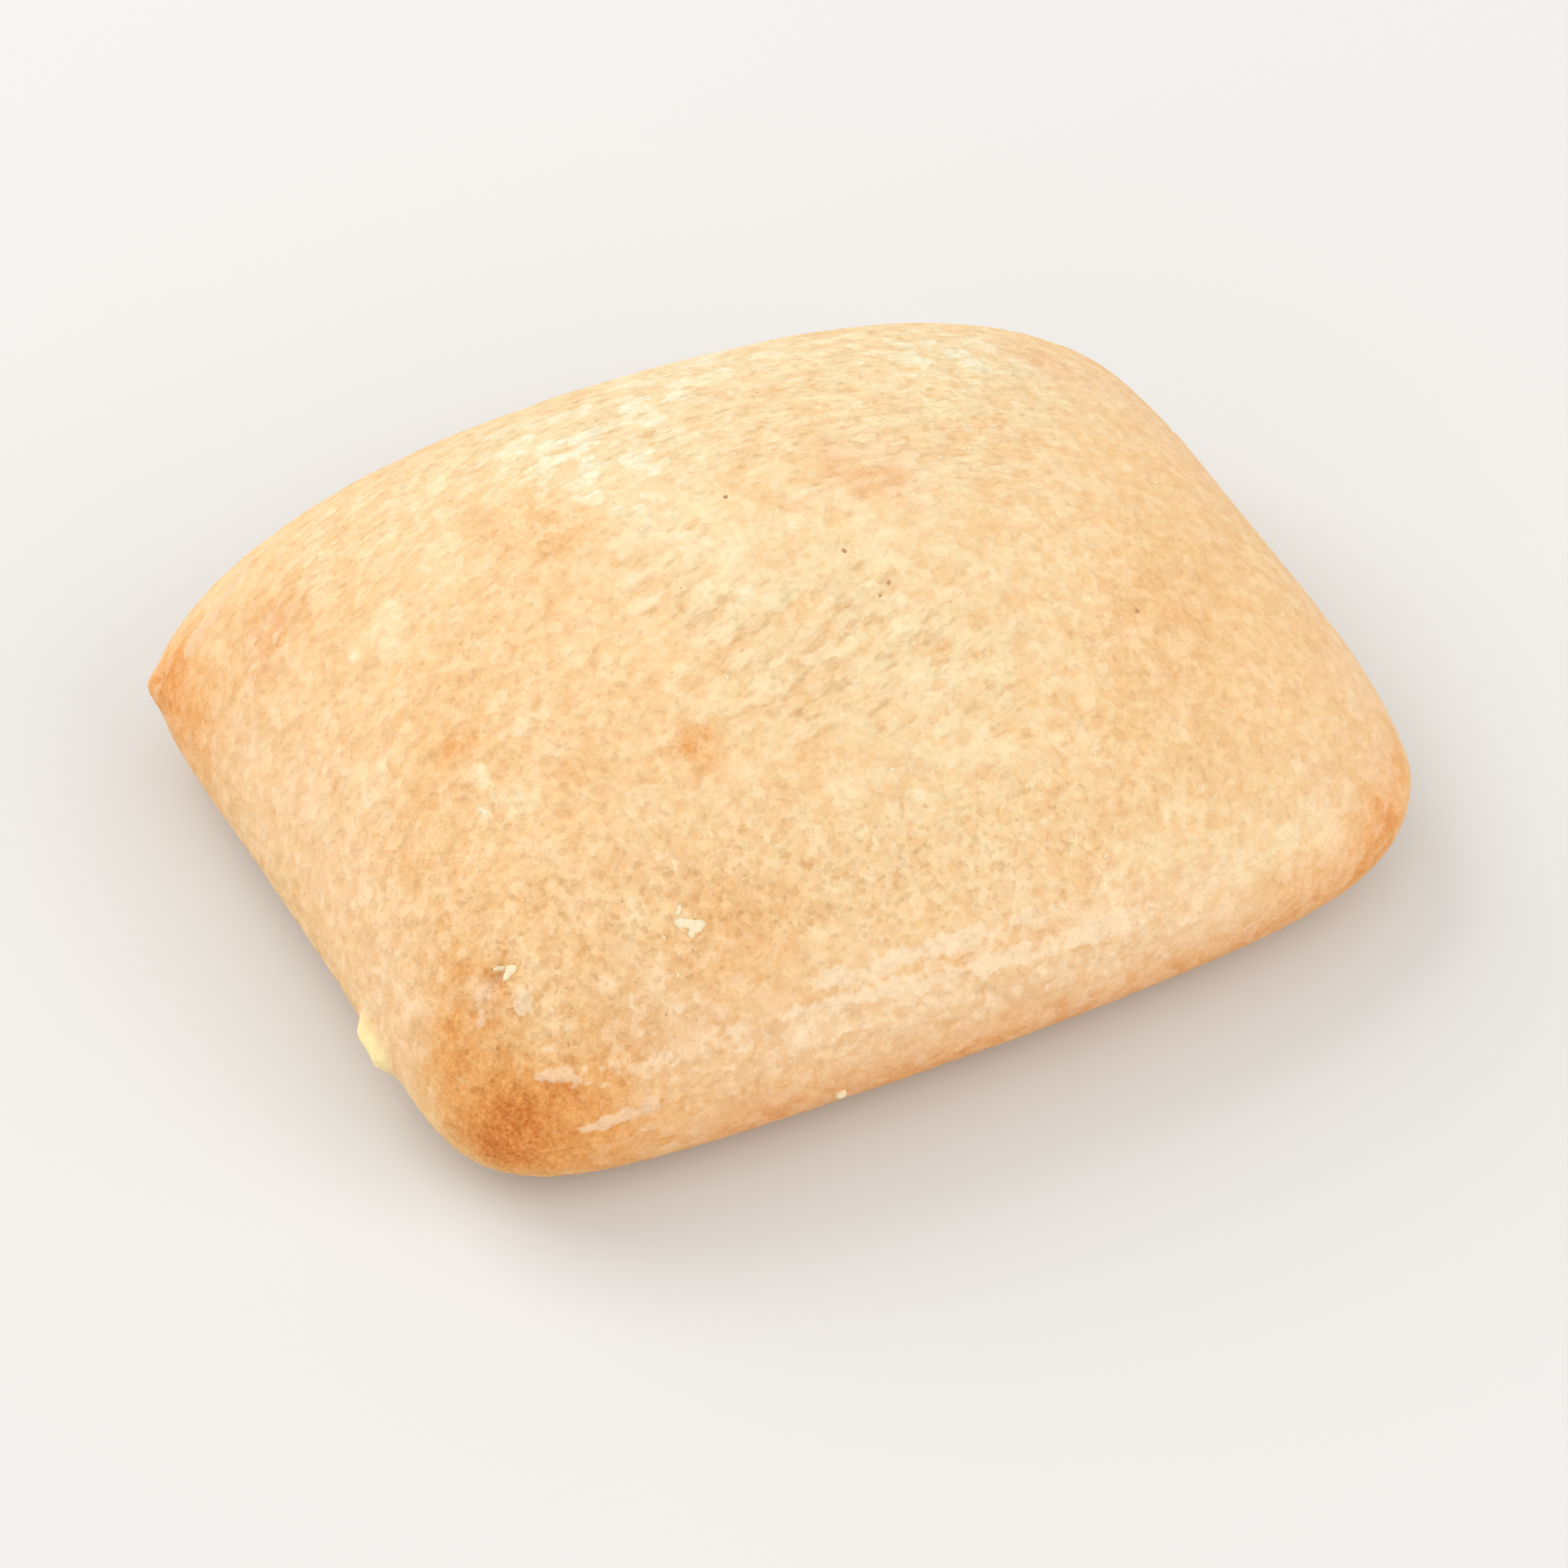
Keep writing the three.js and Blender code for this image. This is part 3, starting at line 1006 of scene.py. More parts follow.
# Marks of shaping and baking; a rise is in millimetres, and the other tones are shares
CRUST_MARKS: Mapping[Tone, tuple[Mark | Patch, ...]] = {
    Tone.RISE: (
        # Folds along the near shoulder
        Mark(((-122.4, 18.5), (-98.8, 17.2), (-64.0, 16.0)), 1.5, 0.35),
        Mark(((-117.0, 14.4), (-96.8, 12.4), (-72.0, 11.0)), 1.5, 0.35),
        Mark(((-110.0, 8.0), (-66.0, 5.6)), 1.5, 0.3),
        # Scuffs at the near left corner and streak at the far left one
        Mark(((-130.4, 1.6), (-125.6, 4.0), (-123.6, 5.2)), 0.6, 0.35, 1.1),
        Mark(((-133.2, 9.2), (-130.4, 9.6), (-128.0, 8.8)), 1.0, 0.35, 0.6),
        Mark(FAR_LEFT_STREAK, 1.2, 0.35, 0.7),
        # Nubs on the left edge and at the far left corner
        Mark(EDGE_NUB, 1.3, 1.2),
        Mark(((140.8, -1.5),), 1.5, 0.9),
        # Torn blister and its hollow
        Mark(((-138.4, 18.2),), 2.4, 0.6),
        Mark(((-139.0, 19.6), (-139.4, 18.4)), 0.7, -1.0),
    ),
    Tone.BROWNED: (
        # Near left corner
        Mark(((-138.0, 6.0), (-134.0, 5.0), (-130.0, 5.0)), 6.3, 0.44),
        Mark(((-135.2, 0.4), (-134.0, 3.8)), 3.6, 0.62),
        Mark(((-134.6, -5.6), (-131.6, -6.8)), 2.4, 0.29),
        Mark(((-138.0, 9.0),), 2.5, -0.17),
        Mark(((-137.6, 13.6),), 1.5, 0.12),
        Mark(((-140.4, 8.8), (-142.4, 12.0), (-142.8, 17.6)), 3.5, 0.3),
        Mark(((-142.4, 11.6),), 0.9, 0.3),
        Mark(((-125.5, 10.0), (-119.0, 12.0)), 5.0, 0.22),
        Mark(((-146.0, 24.0),), 4.0, 0.12),
        # Painted shadow under the upper scuff, painted shade in the torn blister's hollow, and browned marks
        # around the blister
        Mark(((-131.4, 8.1), (-130.2, 8.0)), 0.6, 0.35),
        Mark(((-138.7, 19.2), (-138.8, 18.4)), 0.6, 0.5),
        Mark(((-137.6, 16.7),), 0.9, 0.35),
        Mark(((-140.5, 19.0), (-139.8, 19.0)), 0.5, 0.35),
        Mark(((-139.3, 21.7), (-139.4, 21.0)), 0.5, 0.35),
        # Far left and right corners
        Mark(((143.2, 2.4), (142.0, 5.6)), 3.0, 0.3),
        Mark(((144.4, 1.0), (151.0, 4.0)), 6.0, 0.45),
        Mark(((-42.4, 2.8), (-47.2, 4.0)), 4.2, 0.16),
        Mark(((-40.0, 4.4), (-43.2, 4.2), (-46.0, 3.2)), 2.4, 0.3),
        # Spots on the dome
        Mark(((-124.2, 49.6),), 2.0, 0.34),
        Mark(((-122.7, 48.9), (-122.0, 47.2)), 0.7, 0.3),
        Mark(((-126.9, 49.6), (-125.4, 50.2)), 0.7, 0.28),
        Mark(((-124.6, 51.9),), 0.7, 0.28),
        Mark(((-117.3, 26.0),), 5.0, 0.26),
        Mark(((-134.0, 26.0),), 4.5, 0.15),
        Mark(((151.0, 24.0),), 5.0, 0.3),
        Mark(((-165.0, 32.0),), 7.0, 0.1),
        Mark(((-163.6, 40.0),), 1.0, 0.35),
        Mark(((-160.4, 42.0),), 0.8, 0.3),
        Mark(((-162.0, 40.0),), 4.0, 0.1),
        Mark(((-158.0, 24.0),), 2.5, 0.2),
        Mark(((-142.0, 43.6),), 1.2, 0.25),
        Mark(((-106.8, 48.4),), 2.4, 0.2),
        Mark(CROWN_BLUSH, 2.4, 0.18),
        Mark(((-2.4, 84.0), (-20.0, 83.2)), 0.7, 0.3),
        Mark(((-20.0, 80.8), (-14.0, 80.0)), 0.6, 0.3),
        Mark(((-16.8, 78.4), (-10.8, 77.2)), 0.7, 0.3),
        Mark(((-38.8, 80.8), (-34.0, 80.0)), 0.6, 0.28),
        Mark(((-34.4, 76.8),), 0.7, 0.28),
        Mark(((154.4, 62.0), (164.4, 66.0)), 4.0, 0.36),
        Mark(((-34.0, 68.0),), 2.2, 0.2),
        Mark(((-36.0, 42.0), (-43.6, 41.6)), 6.0, 0.12),
        Mark(((-62.8, 36.4), (-72.4, 36.0)), 7.0, 0.06),
        Mark(((-72.4, 55.6),), 4.0, 0.07),
        Mark(FAR_LEFT_BLUSH, 2.2, 0.2),
        Mark(FAR_RIGHT_SPOT, 2.6, 0.4),
        # Between the two folds of the near shoulder
        Mark(((-109.6, 15.8), (-97.6, 15.6), (-91.2, 14.6), (-83.6, 13.8)), 0.9, 0.13),
        Mark(((-97.2, 14.8), (-93.6, 14.8)), 1.1, 0.17),
        Mark(((-71.6, 13.6),), 1.2, 0.22),
        # The lower edge of the near wall
        Mark(((-127.0, -14.0), (-118.0, -15.0)), 4.5, 0.4),
        Mark(((-112.0, -15.5), (-106.0, -16.0), (-78.4, -18.0), (-50.0, -6.0)), 4.5, 0.6),
    ),
    Tone.ROSY: (
        Mark(((161.6, 10.4), (179.2, 16.0), (199.6, 11.2), (204.0, 9.5)), 7.0, 0.52),
        Mark(((-123.0, 14.0), (-110.0, 9.0), (-92.0, 8.0), (-66.0, 6.0)), 5.0, 0.7),
        Mark(((-126.4, -8.0), (-106.0, -9.0), (-78.4, -10.0), (-58.0, -6.0)), 4.0, 0.35),
        Mark(CROWN_BLUSH, 4.0, 0.65),
        Mark(FAR_RIGHT_SPOT, 5.0, 0.9),
        Mark(FAR_LEFT_BLUSH, 3.0, 0.5),
        Mark(((-139.4, 16.4),), 1.6, 0.9),
        Mark(((-147.0, 5.0),), 3.5, 0.5),
        Mark(((-52.0, 8.0), (-38.0, 12.0), (-20.0, 16.0), (0.0, 17.0), (24.0, 26.0)), 5.5, 0.5),
        # None where the near left corner is baked hardest
        Mark(((-140.0, 6.0), (-134.0, 4.0), (-130.0, 4.0)), 5.5, -0.6),
    ),
    Tone.FLOURY: (
        # Broad dusting of the top and the far side
        Mark(((90.0, 55.0), (90.0, 75.0), (-90.0, 75.0), (-85.0, 58.0)), 16.0, 0.5),
        Mark(((134.0, 42.0), (138.0, 32.0)), 8.0, 0.42),
        Mark(((36.0, 42.0),), 9.0, 0.7),
        Mark(((119.2, 54.4), (126.4, 62.8), (142.4, 66.4)), 8.0, 0.8),
        Mark(((96.8, 61.2),), 4.0, 0.4),
        Mark(((142.8, 78.8), (174.4, 75.2), (204.0, 77.2), (230.8, 71.6)), 4.0, 0.35),
        Mark(((76.8, 47.6), (50.0, 50.0)), 9.0, 0.6),
        # Along the near shoulder
        Mark(((-123.0, 14.0), (-110.0, 8.4), (-92.8, 6.0), (-74.4, 4.8)), 3.5, 0.1),
        Mark(((-67.6, 6.0), (-60.0, 8.4), (-54.4, 8.4)), 4.5, 0.45),
        Mark(((-66.0, 18.0),), 6.0, 0.25),
        # Dusted flakes
        Mark(((-134.8, 26.8), (-132.4, 27.6)), 1.1, 0.5),
        Mark(((-127.6, 28.4),), 1.3, 0.5),
        Mark(((-140.4, 21.5),), 0.7, 0.9),
        Mark(((-155.8, 39.9),), 0.6, 0.8),
        Mark(((-153.9, 38.6),), 0.7, 0.9),
        Mark(((-148.0, 39.2),), 1.3, 0.6),
        Mark(((-145.1, 37.7),), 1.2, 0.5),
        Mark(((-154.4, 47.4),), 1.0, 0.5),
        Mark(((-124.0, 8.2),), 0.9, 0.6),
        Mark(((-126.8, 8.6),), 0.7, 0.5),
        Mark(((-174.8, 28.4), (-169.2, 28.4)), 1.8, 0.7),
        Mark(((183.2, 16.4),), 1.5, 0.6),
        Mark(((158.4, 50.8),), 2.0, 0.6),
        Mark(((162.8, 42.8), (168.4, 42.4)), 2.0, 0.6),
        Patch(LEFT_FLAKE, 1.1),
        Patch(LEFT_CHIP, 0.9),
        Mark(((174.0, 24.4),), 0.6, 0.9),
        Mark(((166.0, 36.0),), 0.6, 0.8),
        Mark(((-143.2, 12.4),), 0.5, 0.9),
        Mark(((-139.6, 6.0),), 0.5, 0.7),
    ),
    Tone.SCUFFED: (
        Patch(LOW_SCUFF, 1.0),
        Patch(HIGH_SCUFF, 0.8),
        Mark(FAR_LEFT_STREAK, 1.3, 0.8, 0.7),
        Mark(((-140.3, 17.0), (-139.5, 13.8)), 0.9, 0.55),
    ),
    Tone.BEADED: (
        # Along the near shoulder and its two folds
        Mark(((-127.0, 10.0), (-118.0, 11.0), (-110.0, 8.5), (-92.0, 6.0), (-70.0, 5.0)), 4.5, 0.32),
        Mark(((-109.6, 18.0), (-103.6, 18.0), (-98.8, 17.3), (-92.4, 18.0)), 1.1, 0.34),
        Mark(((-92.4, 18.0), (-85.2, 17.2), (-81.2, 17.6), (-74.4, 17.2)), 1.0, 0.42),
        Mark(((-110.8, 13.6), (-104.8, 13.6), (-96.8, 12.4), (-91.2, 12.4)), 1.0, 0.3),
        Mark(((-91.2, 12.4), (-83.2, 11.2), (-75.6, 10.8), (-72.0, 11.2)), 0.9, 0.3),
        # Pale tops of the folds
        Mark(((-112.4, 13.6), (-104.8, 13.6), (-98.4, 13.0), (-94.8, 12.8)), 0.35, 0.3),
        Mark(((-103.0, 16.8), (-101.2, 17.6), (-99.2, 18.0)), 0.9, 0.4),
        Mark(((-96.8, 18.0), (-92.4, 17.4)), 0.7, 0.4),
        Mark(((-86.0, 17.6),), 1.0, 0.45),
        Mark(((-108.0, 17.4), (-107.0, 17.8)), 0.8, 0.4),
        Mark(((-91.4, 11.6), (-87.2, 12.4)), 0.8, 0.4),
        Mark(((-80.8, 12.0), (-77.0, 11.6)), 0.8, 0.4),
        # Pale patches around the torn blister and the scuffs
        Mark(((-136.0, 18.2), (-135.7, 16.4)), 0.8, 0.8),
        Mark(((-126.0, 18.8), (-124.4, 18.0)), 0.9, 0.3),
        Mark(((-122.0, 17.2), (-121.2, 18.0)), 0.9, 0.35),
        Mark(((-116.8, 12.4), (-116.8, 10.4)), 0.8, 0.25),
        Mark(((-133.2, 12.8), (-131.6, 12.8)), 0.8, 0.3),
        Mark(((-131.2, 14.8), (-130.8, 15.6)), 0.6, 0.3),
    ),
    Tone.CRUMB: (
        Mark(EDGE_NUB, 1.6, 1.0),
    ),
    Tone.LENGTHWISE: (
        Mark(((140.0, 35.0), (90.0, 50.0), (40.0, 45.0)), 17.0, 1.0),
        Mark(((90.0, 75.0), (0.0, 70.0)), 12.0, 0.8),
        Mark(((-117.0, 14.0), (-66.0, 10.0)), 6.0, 0.5),
    ),
    Tone.SLANTWISE: (
        Mark(SLANTING_SLABS, 9.0, 1.0),
        Mark(((-165.0, 72.0), (-130.0, 68.0), (-108.0, 64.0)), 7.0, 0.7),
    ),
    Tone.FLAKY: (
        Mark(((90.0, 60.0), (-90.0, 60.0)), 24.0, 0.12),
        Mark(((-153.2, 38.0), (-147.6, 39.6)), 3.5, 0.7),
        Mark(((-133.2, 27.6), (-121.6, 27.6)), 3.5, 0.6),
        Mark(((126.4, 62.8), (142.4, 66.4)), 8.0, 0.4),
        Mark(((174.4, 75.2), (230.8, 71.6)), 6.0, 0.4),
        Mark(((-138.4, 19.6),), 3.0, 0.8),
    ),
}


@dataclass
class Crust:
    """The roll's crust: one closed skin with its relief and the marks of baking."""

    form: RollForm
    grain: GrainPattern
    cells_x: int = 200
    cells_y: int = 148
    wall_rows: int = 86
    base_rings: tuple[float, ...] = (0.985, 0.8, 0.5)
    swell_size: float = 23.0
    swell_height: float = 0.35
    lump_size: float = 6.5
    lump_height: float = 0.2
    grain_height: float = 0.16
    # Heights over the floor between which the relief sets in
    relief_fade: tuple[float, float] = (1.0, 5.0)
    # Share of the grain that goes where the skin is smooth
    smooth_loss: float = 0.85
    noise_octaves: float = 1.0
    marks: Mapping[Tone, tuple[Mark | Patch, ...]] = field(default_factory=lambda: CRUST_MARKS)
    # Where the skin is smooth, so that the grain fades
    smooth_marks: tuple[Mark, ...] = (
        Mark(((-40.0, 25.0), (-15.0, 35.0), (5.0, 30.0)), 13.0, 0.5),
        Mark(((130.0, 45.0), (90.0, 50.0), (40.0, 45.0)), 13.0, 0.15),
        Mark(((150.0, 2.0), (161.6, 6.0), (179.2, 8.0), (199.6, 4.0), (213.0, 2.0)), 7.0, 0.5),
        Mark(((-126.4, -12.0), (-106.0, -12.0), (-78.4, -14.0), (-50.0, -5.0)), 4.0, 1.0),
        Mark(((-44.0, 0.0), (0.0, 0.0), (44.0, 0.0)), 8.0, 0.8),
        Mark(((44.0, 0.0), (90.0, 0.0), (140.0, 0.0)), 8.0, 0.8),
    )
    # Where the grain is coarse
    coarse_marks: tuple[Mark, ...] = (
        Mark(SLANTING_SLABS, 9.0, 0.35),
        Mark(((-138.4, 19.6), (-122.0, 27.6), (-105.0, 30.0), (-80.0, 28.0)), 7.0, 0.4),
        Mark(((-136.0, 5.0),), 7.0, 0.3),
        Mark(((126.4, 62.8), (174.4, 75.2), (230.8, 71.6)), 6.0, 0.3),
    )

    def build(self) -> bpy.types.Object:
        """Builds the crust with its relief and dresses it.

        Returns:
            The crust as a plain mesh object.
        """
        points, faces = self.skin()
        crust = plain_object("crust", mesh_of("crust", points, faces))
        for tone, values in self.tones(points).items():
            attribute = crust.data.attributes.new(tone.value, "FLOAT", "POINT")
            attribute.data.foreach_set("value", values.astype(np.float32))
        relief = {
            "Swell Size": self.swell_size * MM,
            "Swell Height": self.swell_height * MM,
            "Lump Size": self.lump_size * MM,
            "Lump Height": self.lump_height * MM,
            "Grain Height": self.grain_height * MM,
            "Material": WheatCrust(self.grain).material(),
        }
        apply_tree(crust, self.relief_tree(), relief)
        return crust

    def skin(self) -> tuple[np.ndarray, list[tuple[int, ...]]]:
        """Lays the smooth skin: a grid over the dome, columns down the walls and rings on the base.

        Returns:
            Points in millimetres and faces as point numbers.
        """
        across_x = np.tan(np.linspace(-1, 1, self.cells_x + 1) * math.pi / 4)
        across_y = np.tan(np.linspace(-1, 1, self.cells_y + 1) * math.pi / 4)
        grid_x, grid_y = np.meshgrid(across_x, across_y)
        top = np.column_stack([grid_x.ravel(), grid_y.ravel(), np.ones(grid_x.size)])
        top /= np.linalg.norm(top, axis=1, keepdims=True)
        number = np.arange(len(top)).reshape(grid_x.shape)
        rim = np.concatenate([number[0, :-1], number[:-1, -1], number[-1, :0:-1], number[:0:-1, 0]])

        longitude = np.arctan2(top[rim, 1], top[rim, 0])
        first = np.arcsin(top[rim, 2])
        last = self.form.base_latitudes(longitude)
        rows = [self.form.points(top)]
        for latitude in self.even_latitudes(longitude, first, last):
            rows.append(self.form.points(unit_directions(longitude, latitude)))
        rows[-1][:, 2] = 0
        middle = rows[-1].mean(0)
        for share in self.base_rings:
            rows.append(middle + (rows[self.wall_rows] - middle) * share)
        rows.append(middle[None])

        quads = np.stack([number[:-1, :-1], number[:-1, 1:], number[1:, 1:], number[1:, :-1]], -1)
        faces = [tuple(q) for q in quads.reshape(-1, 4).tolist()]
        upper = rim
        start = len(top)
        for _ in range(self.wall_rows + len(self.base_rings)):
            lower = np.arange(start, start + len(rim))
            strip = np.stack([upper, lower, np.roll(lower, -1), np.roll(upper, -1)], -1)
            faces += [tuple(q) for q in strip.tolist()]
            upper = lower
            start += len(rim)
        faces += [(a, start, b) for a, b in zip(upper.tolist(), np.roll(upper, -1).tolist())]
        return np.concatenate(rows), faces

    def even_latitudes(
        self, longitude: np.ndarray, first: np.ndarray, last: np.ndarray, samples: int = 160
    ) -> np.ndarray:
        """Spaces the wall's rows evenly along the crust in each column.

        Args:
            longitude: Longitude of each column in radians.
            first: Latitude where each column starts.
            last: Latitude where each column ends.
            samples: Steps that the length of a column is measured in.

        Returns:
            Latitudes in radians, one row of columns per wall row.
        """
        shares = np.linspace(0, 1, samples + 1)
        latitudes = first + shares[:, None] * (last - first)
        track = np.stack([self.form.points(unit_directions(longitude, row)) for row in latitudes])
        steps = np.linalg.norm(np.diff(track, axis=0), axis=2)
        lengths = np.concatenate([np.zeros((1, len(longitude))), np.cumsum(steps, axis=0)])
        wanted = np.linspace(0, 1, self.wall_rows + 1)[1:]
        columns = [
            np.interp(wanted * lengths[-1, i], lengths[:, i], latitudes[:, i])
            for i in range(len(longitude))
        ]
        return np.array(columns).T

    def total(self, marks: tuple[Mark | Patch, ...], points: np.ndarray) -> np.ndarray:
        """Sums the effects of marks at points of the smooth crust in millimetres."""
        return sum(mark.effect(self.form, points) for mark in marks)

    def tones(self, points: np.ndarray) -> dict[Tone, np.ndarray]:
        """Works out what varies over the crust.

        Args:
            points: Points of the smooth crust in millimetres.

        Returns:
            One value per point for each tone.
        """
        values = {tone: self.total(marks, points) for tone, marks in self.marks.items()}
        level = smoothstep(points[:, 2], *self.relief_fade)
        smooth = np.clip(self.total(self.smooth_marks, points), 0, 1)
        coarse = self.total(self.coarse_marks, points)
        values[Tone.LEVEL] = level
        values[Tone.GRAIN] = (1 - self.smooth_loss * smooth + coarse) * level
        values[Tone.RISE] *= level * MM
        values[Tone.FLAKY] *= level
        for tone in (Tone.LENGTHWISE, Tone.SLANTWISE, Tone.CRUMB):
            values[tone] = np.clip(values[tone], 0, 1)
        return values

    def relief_tree(self) -> Tree:
        """Builds the tree that pushes the skin out by its swells, lumps, grain and marks.

        Returns:
            The geometry tree.
        """
        sizes = ("Swell Size", "Swell Height", "Lump Size", "Lump Height", "Grain Height")
        kinds = dict.fromkeys(sizes, "NodeSocketFloat") | {"Material": "NodeSocketMaterial"}
        tree, given = new_tree("Crust Relief", kinds)
        position = add_node(tree, "GeometryNodeInputPosition").outputs[0]
        tone = {}
        for t in (Tone.RISE, Tone.LEVEL, Tone.GRAIN, Tone.LENGTHWISE, Tone.SLANTWISE):
            read = add_node(tree, "GeometryNodeInputNamedAttribute", {"Name": t.value}, data_type="FLOAT")
            tone[t] = read.outputs[0]
        lie = (tone[Tone.LENGTHWISE], tone[Tone.SLANTWISE])
        height = self.grain.draw(tree, Weave.SWELLING, position, *lie)
        plateau = self.grain.plateau(tree, height, tone[Tone.GRAIN])
        parts = [(plateau, given.outputs["Grain Height"])]
        for kind in ("Swell", "Lump"):
            size = given.outputs[f"{kind} Size"]
            scale = add_node(tree, "ShaderNodeMath", {0: 1.0, 1: size}, operation="DIVIDE").outputs[0]
            inputs = {"Vector": position, "Scale": scale, "Detail": self.noise_octaves}
            noise = add_node(tree, "ShaderNodeTexNoise", inputs).outputs[0]
            inputs = {0: noise, 1: NOISE_MIDDLE}
            even = add_node(tree, "ShaderNodeMath", inputs, operation="SUBTRACT").outputs[0]
            inputs = {0: even, 1: tone[Tone.LEVEL]}
            faded = add_node(tree, "ShaderNodeMath", inputs, operation="MULTIPLY").outputs[0]
            parts.append((faded, given.outputs[f"{kind} Height"]))
        total = weighed_sum(tree, tone[Tone.RISE], parts)
        normal = add_node(tree, "GeometryNodeInputNormal").outputs[0]
        offset = add_node(tree, "ShaderNodeVectorMath", {0: normal, "Scale": total}, operation="SCALE")
        place = {"Geometry": given.outputs["Geometry"], "Offset": offset.outputs[0]}
        end_tree(tree, given, add_node(tree, "GeometryNodeSetPosition", place).outputs[0])
        return tree


@dataclass(frozen=True)
class OutlinedChip:
    """A thin chip: the places along its rim and its height in millimetres."""

    rim: Places
    height: float

    def outline(self, form: RollForm) -> np.ndarray:
        """Gives the rim's points on the smooth crust in millimetres, one row each."""
        return form.spots(self.rim)


@dataclass(frozen=True)
class OvalChip:
    """A thin, ragged oval chip: its place, its sizes in millimetres and its turn in degrees."""

    place: Place
    length: float
    width: float
    height: float
    turn: float = 0.0
    corners: int = 10
    raggedness: tuple[float, float] = (0.7, 1.15)
    # Degrees that the crust's lie is measured over
    lie_step: float = 0.1
    # Seeds of the raggedness in a degree of longitude, so that each place has its own
    seeds_per_degree: int = 10

    def outline(self, form: RollForm) -> np.ndarray:
        """Lays the rim's points flat on the smooth crust.

        Args:
            form: Form that the chip lies on.

        Returns:
            Points in millimetres, one row each.
        """
        longitude, latitude = self.place
        step = self.lie_step
        near = ((longitude, latitude), (longitude + step, latitude), (longitude, latitude + step))
        middle, east, north = form.spots(near)
        along = (east - middle) / np.linalg.norm(east - middle)
        across = north - middle - (north - middle) @ along * along
        across /= np.linalg.norm(across)
        rng = np.random.default_rng(int(abs(longitude) * self.seeds_per_degree))
        angle = np.linspace(0, 2 * math.pi, self.corners, endpoint=False)
        reach = rng.uniform(*self.raggedness, self.corners)
        x = np.cos(angle) * reach * self.length / 2
        y = np.sin(angle) * reach * self.width / 2
        turn = math.radians(self.turn)
        east_share = x * math.cos(turn) - y * math.sin(turn)
        north_share = x * math.sin(turn) + y * math.cos(turn)
        return middle + np.outer(east_share, along) + np.outer(north_share, across)


